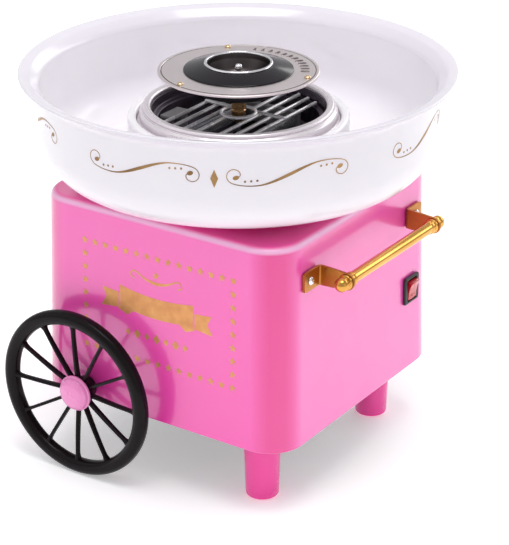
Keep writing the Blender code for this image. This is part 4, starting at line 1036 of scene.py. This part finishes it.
def make_guard():
    """Long wires, with the outer ones bent across to the ring round the coupling."""
    wire_r = 1.3 * MM
    z = GUARD_LOW.z + 1.2 * MM
    cross_z = z + 0.95 * MM
    reach, cross_y, ring_r = 58.0 * MM, 7.0 * MM, 12.0 * MM
    parts = []
    for x in (13.0, 22.5, 32.0):
        for sign in (-1, 1):
            end = math.sqrt(reach ** 2 - (x * MM) ** 2)
            parts.append(tube([(sign * x * MM, -end, z), (sign * x * MM, 0, z),
                               (sign * x * MM, end, z)], wire_r))
    for sign in (-1, 1):
        start = math.sqrt(ring_r ** 2 - cross_y ** 2)
        parts.append(tube([(sign * start, cross_y, cross_z), (sign * 32.6 * MM, cross_y, cross_z)],
                          wire_r))
        x = sign * 3.0 * MM
        parts.append(tube([(x, sign * 11.4 * MM, z), (x, sign * 30 * MM, z),
                           (x, sign * math.sqrt(reach ** 2 - x ** 2), z)], wire_r))
    loop = [(x, y, cross_z) for x, y in circle(ring_r, 48)]
    parts.append(merge_seam(tube(loop, wire_r, ring=True)))
    mesh_piece("guard_wires", joined(*parts), "wire", "body", ["wire_guard"])


# --- sugar head

def make_head():
    top = DISC_HIGH.z / MM - 0.1
    mouth_top = MOUTH_HIGH.z / MM
    make_disc(top)
    make_cone(top, mouth_top)
    make_cup(mouth_top)
    make_pan()
    make_rivets(top)
    make_disc_marks(top)
    make_coupling()
    make_dome_nut()


def make_disc(top):
    """A flat ring with a rolled edge and a shallow groove just inside it; a thin dark ring in the
    groove is a painted shadow.
    """
    r = DISC_HIGH.x / MM
    disc = [(34.8, top - 1.2, 0.2), (r - 1.2, top - 1.2, 0.3), (r - 0.4, top - 1.7, 0.3),
            (r, top - 1.3, 0.35), (r, top - 0.1, 0.5), (r - 1.0, top + 0.1, 0.5),
            (r - 2.0, top, 0.3), (r - 2.3, top - 0.3, 0.1), (r - 2.7, top, 0.1),
            (34.8, top, 0.2)]
    turned_piece("disc_shape", disc, FINE, "disc", "head", ["spinner_disc"])
    # painted shadow: a thin dark ring fills the groove
    line = [(r - 3.1, top - 0.3, 0), (r - 2.3, top - 0.3, 0), (r - 2.4, top + 0.04, 0.03),
            (r - 3.0, top + 0.04, 0.03)]
    turned_piece("disc_groove_painted_shadow", line, FINE, "ticks", "head")


def make_cone(top, mouth_top):
    """The black cone and the bright ring round its mouth."""
    cone = [(38.1, top + 0.15, 0.3), (37.7, top + 0.8, 0.8), (24.9, mouth_top - 1.3, 0.5),
            (21.8, mouth_top - 1.3, 0.3), (21.8, mouth_top - 3.4, 0.3), (34.8, top + 0.15, 0.3)]
    turned_piece("cone_shape", cone, FINE, "cone", "head", ["spinner_cone"])
    r = 21.5
    ring = [(r, mouth_top - 1.1, 0.1), (r + 2.4, mouth_top - 1.1, 0.3), (r + 1.8, mouth_top, 0.7),
            (r + 0.3, mouth_top, 0.6)]
    turned_piece("mouth_ring_shape", ring, FINE, "chrome", "head", ["mouth_ring"])


def make_cup(mouth_top):
    """The bowl-shaped inside of the mouth, which the sugar is spooned into."""
    cup = [(21.6, mouth_top - 1.5, 0.2), (21.2, mouth_top - 4.5, 3.0), (18.6, 269.5, 6.0),
           (13.0, 264.0, 5.0), (4.5, 262.4, 1.0), (1.9, 262.4, 0), (1.9, 261.8, 0),
           (5.0, 261.8, 1.0), (14.0, 263.4, 5.0), (19.6, 269.5, 6.0), (22.0, mouth_top - 4.5, 3.0),
           (22.1, mouth_top - 1.5, 0.2)]
    turned_piece("sugar_cup", cup, FINE, "cup", "head")


def make_pan():
    """The pan under the disc; black strips on its wall are painted shade for the slots that the
    sugar leaves by.
    """
    pan = [(1.95, 260.7, 0), (28.6, 260.7, 2.0), (31.2, 262.6, 2.0), (34.2, 272.4, 0.9),
           (53.0, 272.4, 0.3), (53.0, 273.4, 0.3), (33.4, 273.4, 1.0), (30.3, 263.4, 2.0),
           (28.0, 261.6, 1.5), (1.95, 261.6, 0)]
    turned_piece("pan_shape", pan, FINE, "pan", "head", ["head_pan"])
    # painted shade: black strips stand for the openings of the slots
    slots = wall_slots(60, 0, [(264.5, 31.85, 0.4), (265.0, 32.0, 0.7), (270.0, 33.5, 0.7),
                               (270.5, 33.65, 0.4)], 0.15)
    mesh_piece("pan_slots_painted_shade", slots, "black", "head")


def make_rivets(top):
    """Three rivets that clamp the disc to the pan."""
    for k in range(3):
        centre = (*box_middle("rivet_%d" % (k + 1))[:2], 0)
        rivet = [(0, top - 3.9, 0), (2.0, top - 3.9, 0.5), (2.0, top - 2.9, 0.2),
                 (1.1, top - 2.9, 0), (1.1, top + 0.1, 0), (2.3, top + 0.1, 0.2),
                 (2.2, top + 0.8, 0.7), (1.1, top + 1.45, 1.5), (0, top + 1.5, 0)]
        turned_piece("rivet_%d_shape" % (k + 1), rivet, SMALL, "rivet", "head",
                     ["rivet_%d" % (k + 1)], centre)


def make_disc_marks(top):
    """Plain embossed ticks along part of the disc's rim."""
    middle_r, half_l, half_w = 45.6, 3.4, 1.5
    parts = []
    for k in range(12):
        out, across = directions(math.radians(28 + 7.4 * k))
        sections = []
        for s in range(9):
            along = -1 + 2 * s / 8
            half = half_w * math.sqrt(max(0.0, 1 - abs(along) ** 3)) + 0.05
            centre = out * (middle_r + half_l * along) * MM
            foot = Vector((0, 0, top * MM - 0.0002))
            crest = Vector((0, 0, (top + 0.45 * math.sqrt(max(0.0, 1 - along ** 4))) * MM))
            sections.append([centre + across * half * MM + foot,
                             centre - across * half * MM + foot,
                             centre - across * half * 0.45 * MM + crest,
                             centre + across * half * 0.45 * MM + crest])
        parts.append(loft(sections))
    mesh_piece("disc_ticks", joined(*parts), "ticks", "head", sharp=70)


def make_coupling():
    coupling = [(1.95, 238.6, 0.2), (4.4, 238.6, 0.5), (5.0, 239.6, 0.3), (5.0, 246.4, 0.3),
                (4.5, 247.0, 0.2), (4.5, 248.0, 0.2), (5.0, 248.6, 0.3), (5.0, 260.2, 0.3),
                (1.95, 260.2, 0)]
    turned_piece("coupling_shape", coupling, SMALL, "brass", "head", ["drive_coupling"])


def make_dome_nut():
    """A hexagon with chamfered ends under a dome."""
    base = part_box("dome_nut")[0].z / MM
    hex_r = 2.95
    ring = []
    for z, grow in ((base, 0.92), (base + 0.25, 1.0), (base + 1.5, 1.0), (base + 1.75, 0.92)):
        ring.append([Vector((x, y, z * MM)) for x, y in circle(hex_r * grow * MM, 6)])
    dome = [(0, base + 1.5, 0), (2.5, base + 1.5, 0.1), (2.5, base + 2.3, 0.6),
            (1.9, base + 3.6, 1.6), (0, base + 4.0, 0)]
    mesh_piece("dome_nut_shape", joined(loft(ring), turned(dome, SMALL)), "chrome", "head",
               ["dome_nut"])


# --- handle

def cross_recess(radius, depth, top):
    """Two crossed tapering slots for a screw head on +Z."""
    parts = []
    for turn in (0, 90):
        rotate = Matrix.Rotation(math.radians(turn), 3, "Z")
        sections = []
        for z, half_l, half_w in ((top + depth * 0.5, radius, radius * 0.21),
                                  (top - depth, radius * 0.45, radius * 0.12)):
            sections.append([rotate @ Vector((sx * half_l, sy * half_w, z))
                             for sx, sy in ((-1, -1), (1, -1), (1, 1), (-1, 1))])
        parts.append(loft(sections))
    return parts


def screw_head(name, radius, height, place, mat, replaces):
    """A domed head with a cross recess, at the origin on +Z, then moved into place."""
    dome = [(0, -height, 0), (radius * 0.45, -height, 0), (radius * 0.45, 0, 0),
            (radius, 0, 0.2 * MM), (radius * 0.95, height * 0.45, height * 0.6),
            (radius * 0.5, height * 0.95, radius * 0.5), (0, height, 0)]
    bm = lathe(fillet(dome, closed=False), SMALL)
    obj = mesh_piece(name, bm, mat, "body", replaces)
    for part in cross_recess(radius * 0.55, height * 0.55, height):
        boolean(obj, part, "DIFFERENCE")
    obj.data.transform(place)
    weight_normals(obj)


def bracket_stations(low, high, t):
    """The bracket's strip as (x, y) points with half widths: plate, bend, arm and round eye."""
    middle, bend, arm_y = low.x + t / 2, 2.2 * MM, 57.0 * MM
    plate_end = max(abs(low.y), abs(high.y))
    plate_half, end_r, eye_r = 7.1 * MM, 1.2 * MM, 6.0 * MM
    eye_x = BAR_LOW.x + (BAR_HIGH.x - BAR_LOW.x) / 2
    stations = []
    for k in range(7):
        y = plate_end - (plate_end - arm_y - bend) * k / 6
        edge = min(plate_end - y, end_r) / end_r
        stations.append((Vector((middle, y)),
                         plate_half - 0.8 * MM * (1 - math.sqrt(1 - (1 - edge) ** 2))))
    stations += [(Vector((middle + bend * c, arm_y + bend * s)), plate_half)
                 for c, s in quarter(6, 1)]
    start_x = middle + bend
    for k in range(1, 9):
        share = k / 8
        stations.append((Vector((start_x + (eye_x - start_x) * share, arm_y)),
                         (7.15 - 1.15 * share ** 1.4) * MM))
    for k in range(1, 9):
        angle = math.radians(88 * k / 8)
        stations.append((Vector((eye_x + eye_r * math.sin(angle), arm_y)),
                         max(eye_r * math.cos(angle), 0.15 * MM)))
    return stations


def make_bracket(name, side):
    """A plate bent into an arm: one strip that narrows to a round eye."""
    low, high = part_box("handle_bracket_" + name)
    t = 2.0 * MM
    centre_z = (low.z + high.z) / 2
    stations = bracket_stations(low, high, t)
    sections = []
    for i, (point, half) in enumerate(stations):
        before = stations[max(i - 1, 0)][0]
        after = stations[min(i + 1, len(stations) - 1)][0]
        ahead = (after - before).normalized()
        across = Vector((-ahead.y, ahead.x, 0))
        centre = Vector((point.x, point.y, centre_z))
        ring = blade_section(centre, across, Vector((0, 0, 1)), t / 2, half,
                             0.35 if half > t else 0.2)
        sections.append([Vector((p.x, side * p.y, p.z)) for p in ring])
    obj = mesh_piece("handle_bracket_%s_shape" % name, loft(sections), "gold_plate", "body",
                     ["handle_bracket_" + name])
    weight_normals(obj)
    place = (Matrix.Translation((low.x + t + 0.1 * MM, *box_middle("handle_screw_" + name)[1:]))
             @ Matrix.Rotation(math.pi / 2, 4, "Y") @ Matrix.Rotation(math.radians(20), 4, "Z"))
    screw_head("handle_screw_%s_shape" % name, 3.0 * MM, 1.8 * MM, place, "chrome",
               ["handle_screw_" + name])


def make_handle():
    """The brass bar, its two brackets and the knobs that clamp it."""
    centre = ((BAR_LOW.x + BAR_HIGH.x) / 2, 0, (BAR_LOW.z + BAR_HIGH.z) / 2)
    end = 55.8
    right = [(3.0, end, 0), (5.3, end, 0.5), (5.3, end - 1.6, 0.6), (4.3, end - 2.0, 0.3),
             (4.3, end - 3.4, 0.3), (4.85, end - 3.8, 0.4), (4.85, end - 5.0, 0.5),
             (4.1, end - 5.6, 0.8), (4.2, 0.0, 40.0)]
    left = [(r, -h, f) for r, h, f in reversed(right[:-1])]
    outline = [(0, end, 0)] + right + left + [(0, -end, 0)]
    turned_piece("handle_bar_shape", outline, MEDIUM, "gold", "body",
                 ["handle_bar"], centre, "Y")
    for name, side in (("left", -1), ("right", 1)):
        make_bracket(name, side)
        knob = [(0, 58.3, 0), (5.4, 58.3, 0.3), (5.4, 59.7, 0.6), (3.9, 60.1, 0.4),
                (3.7, 60.7, 0.3)]
        ball = [(4.8 * math.cos(math.radians(a)), 63.5 + 4.8 * math.sin(math.radians(a)), 0)
                for a in range(-36, 90, 9)]
        turned_piece("handle_knob_%s_shape" % name, knob + ball + [(0, 68.3, 0)], MEDIUM, "gold",
                     "body", ["handle_knob_" + name], centre,
                     "Y" if side > 0 else "-Y")


# --- switch

def make_switch():
    """The black bezel of the switch, and the rocker in it."""
    y, z = box_middle("switch_body")[1:]
    front = SWITCH_HIGH.x

    def ring(x, half_w, half_h, r):
        return [Vector((x, y + u * MM, z + v * MM)) for u, v in rounded_rect(half_w, half_h, r)]

    face = front - 1.9 * MM
    rings = [ring(face, 7.2, 9.0, 0.8), ring(face, 9.5, 10.2, 1.6)]
    edge = 0.9
    for c, s in quarter(4):
        cut = edge * c
        rings.append(ring(front - edge * MM * s, 9.5 - cut, 10.2 - cut, 1.6 - cut * 0.4))
    rings += [ring(front, 6.5, 8.6, 0.9), ring(front - 0.5 * MM, 6.05, 8.25, 0.7),
              ring(front - 9.0 * MM, 6.0, 8.2, 0.6)]
    back = SWITCH_LOW.x + 6 * MM
    floor = [Vector((front - 9.0 * MM, y + u * MM * 0.02, z + v * MM * 0.02))
             for u, v in rounded_rect(6.0, 8.2, 0.6)]
    body = loft([ring(back, 7.0, 8.8, 0.8), ring(back + 0.5 * MM, 7.2, 9.0, 0.8)] + rings + [floor])
    obj = mesh_piece("switch_bezel", body, "black", "body", ["switch_body"])
    weight_normals(obj)
    make_rocker()


def make_rocker():
    """The red rocker at its resting tilt, with a bar and a circle printed on it."""
    joint = next(j for j in frame["joints"] if j["name"] == "rocker_tilt")
    pivot = Vector(joint["pos_m"])
    rest_deg = joint["range_deg"][1] / 2
    outline = fillet(scaled([(-6.0, -1.5, 1.5), (-4.6, -4.4, 1.0), (-0.8, -7.2, 0.8),
                             (3.1, -7.15, 0.7), (2.2, -2.5, 6.0), (2.2, 2.5, 6.0),
                             (3.1, 7.15, 0.7), (-0.8, 7.2, 0.8), (-4.6, 4.4, 1.0),
                             (-6.0, 1.5, 1.5)]), step_deg=9)
    tilt = Euler((0, math.radians(rest_deg), 0)).to_matrix()
    sections = []
    for k in range(9):
        share = -1 + 2 * k / 8
        edge = abs(share) ** 8
        half = 5.5 * MM
        shrink = 1 - 0.06 * edge
        sections.append([pivot + tilt @ Vector((u * shrink, share * half, v * shrink))
                         for u, v in outline])
    obj = mesh_piece("rocker_shape", loft(sections), "red", "rocker",
                     ["rocker"])
    weight_normals(obj)
    bar = box_bm((-0.12 * MM, -0.3 * MM, -1.3 * MM), (0.12 * MM, 0.3 * MM, 1.3 * MM))
    loop = [(0, y, z) for y, z in circle(1.15 * MM, 24)]
    hoop = merge_seam(tube(loop, 0.2 * MM, 8, ring=True))
    for shape, sign in ((bar, 1), (hoop, -1)):
        spot = (Matrix.Translation(pivot) @ tilt.to_4x4()
                @ Matrix.Translation((2.72 * MM, 0, sign * 4.6 * MM))
                @ Matrix.Rotation(math.radians(sign * 6.5), 4, "Y"))
        bmesh.ops.transform(shape, matrix=spot, verts=shape.verts)
    mesh_piece("rocker_marks", joined(bar, hoop), "mark", "rocker")


# --- small pieces

def make_inlet():
    """The rubber grommet that a cord would enter by."""
    low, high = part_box("cord_inlet")
    centre = ((low.x + high.x) / 2, 0, (low.z + high.z) / 2)
    inner, outer = low.y / MM, high.y / MM
    wall = outer - 2.2
    grommet = [(3.3, inner, 0.5), (5.2, inner, 0.4), (5.2, wall, 0.2), (7.9, wall, 0.3),
               (7.6, outer, 1.2), (3.3, outer, 1.0)]
    turned_piece("cord_inlet_shape", grommet, MEDIUM, "rubber", "body", ["cord_inlet"],
                 centre, "Y")


def make_base_screws():
    for end in ("front", "rear"):
        for side in ("left", "right"):
            node = "base_screw_%s_%s" % (end, side)
            seat_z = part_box(node)[0].z + 1.9 * MM
            place = (Matrix.Translation((*box_middle(node)[:2], seat_z))
                     @ Matrix.Rotation(math.pi, 4, "X"))
            screw_head(node + "_shape", 3.2 * MM, 1.8 * MM, place, "steel", [node])


def paint_kept_nodes():
    """Procedural materials on the CAD nodes that stay, most of them inside."""
    kept = {"base_plate": "black", "axle": "steel", "axle_clip_left": "steel",
            "axle_clip_right": "steel", "thermal_cutout": "steel", "head_post": "steel",
            "motor_shaft": "steel", "rotor": "rotor", "cooling_fan": "black",
            "motor_can": "steel", "motor_end_cap": "black", "motor_bracket": "steel",
            "bracket_screw_left": "steel", "bracket_screw_right": "steel",
            "terminal_block": "ceramic", "lead_switch_live": "brown", "lead_motor": "brown",
            "lead_heater": "blue"}
    for node, key in kept.items():
        mesh = frame["nodes"][node].data
        mesh.materials.clear()
        mesh.materials.append(MAT[key])


# --- stage

def make_floor():
    """A wide pale floor that glows a little, as in a light tent."""
    bm = bmesh.new()
    bmesh.ops.create_grid(bm, x_segments=8, y_segments=8, size=6.0)
    mesh = bpy.data.meshes.new("floor")
    bm.to_mesh(mesh)
    bm.free()
    floor = bpy.data.objects.new("floor", mesh)
    bpy.context.scene.collection.objects.link(floor)
    s = Shader("pale_floor", (0.93, 0.93, 0.935), 0.55, Specular_IOR_Level=0.2,
               Emission_Color=(1.0, 1.0, 1.0, 1.0), Emission_Strength=0.32)
    s.tint(s.remap(s.noise(3, 3), 0.0, 1.0), (0.92, 0.92, 0.925))
    mesh.materials.append(s.mat)


def make_camera():
    """A lens of about 135 mm, 1.45 m away, looking down over the left front edge."""
    azimuth, elevation, distance = math.radians(33.91), math.radians(24.22), 1.45
    right = Vector((math.cos(azimuth), math.sin(azimuth), 0))
    back = Vector((math.sin(azimuth) * math.cos(elevation),
                   -math.cos(azimuth) * math.cos(elevation), math.sin(elevation)))
    up = back.cross(right)
    target = Vector((0, 0, 0.130)) + right * 0.01085 - up * 0.00627
    data = bpy.data.cameras.new("camera")
    data.lens = 134.58
    data.sensor_width = 36.0
    data.clip_end = 50.0
    camera = bpy.data.objects.new("camera", data)
    camera.matrix_world = (Matrix.Translation(target + back * distance)
                           @ Matrix((right, up, back)).transposed().to_4x4())
    bpy.context.scene.collection.objects.link(camera)
    bpy.context.scene.camera = camera


def add_light(name, place, target, size, power, size_y=None):
    data = bpy.data.lights.new(name, "AREA")
    data.energy = power
    data.size = size
    if size_y:
        data.shape = "RECTANGLE"
        data.size_y = size_y
    light = bpy.data.objects.new(name, data)
    light.location = place
    light.rotation_euler = (Vector(place) - Vector(target)).to_track_quat("Z", "Y").to_euler()
    bpy.context.scene.collection.objects.link(light)


def make_world():
    """Soft light from all round, a little brighter near the horizon than overhead."""
    world = bpy.data.worlds.new("soft_studio")
    world.use_nodes = True
    tree = world.node_tree
    background = tree.nodes["Background"]
    background.inputs["Color"].default_value = (0.98, 0.975, 1.0, 1.0)
    coords = tree.nodes.new("ShaderNodeTexCoord")
    split = tree.nodes.new("ShaderNodeSeparateXYZ")
    ramp = tree.nodes.new("ShaderNodeMapRange")
    for socket, number in (("From Min", 0.1), ("From Max", 0.85), ("To Min", 0.59),
                           ("To Max", 0.56)):
        ramp.inputs[socket].default_value = number
    tree.links.new(coords.outputs["Generated"], split.inputs[0])
    tree.links.new(split.outputs["Z"], ramp.inputs["Value"])
    tree.links.new(ramp.outputs["Result"], background.inputs["Strength"])
    bpy.context.scene.world = world


def make_lights():
    middle = (0, 0, 0.15)
    add_light("key_over_left", (-0.95, -1.15, 1.4), middle, 2.0, 4.6, size_y=2.0)
    add_light("fill_handle_side", (1.8, -0.3, 0.7), middle, 1.0, 0.9)
    add_light("rim_behind", (0.28, 1.42, 0.76), middle, 1.7, 6.5, size_y=0.5)
    add_light("top_soft", (0.2, -0.2, 1.85), middle, 1.0, 19.5)
    bpy.context.scene.view_settings.view_transform = "Standard"


def main():
    make_camera()
    make_housing()
    make_feet()
    make_wheel("left", -1)
    make_wheel("right", 1)
    make_bowl()
    make_bowl_ornament()
    make_side_print("side_print_left", -1)
    make_side_print("side_print_right", 1)
    make_tower()
    make_well()
    make_heater()
    make_guard()
    make_head()
    make_handle()
    make_switch()
    make_inlet()
    make_base_screws()
    paint_kept_nodes()
    make_floor()
    make_world()
    make_lights()


main()
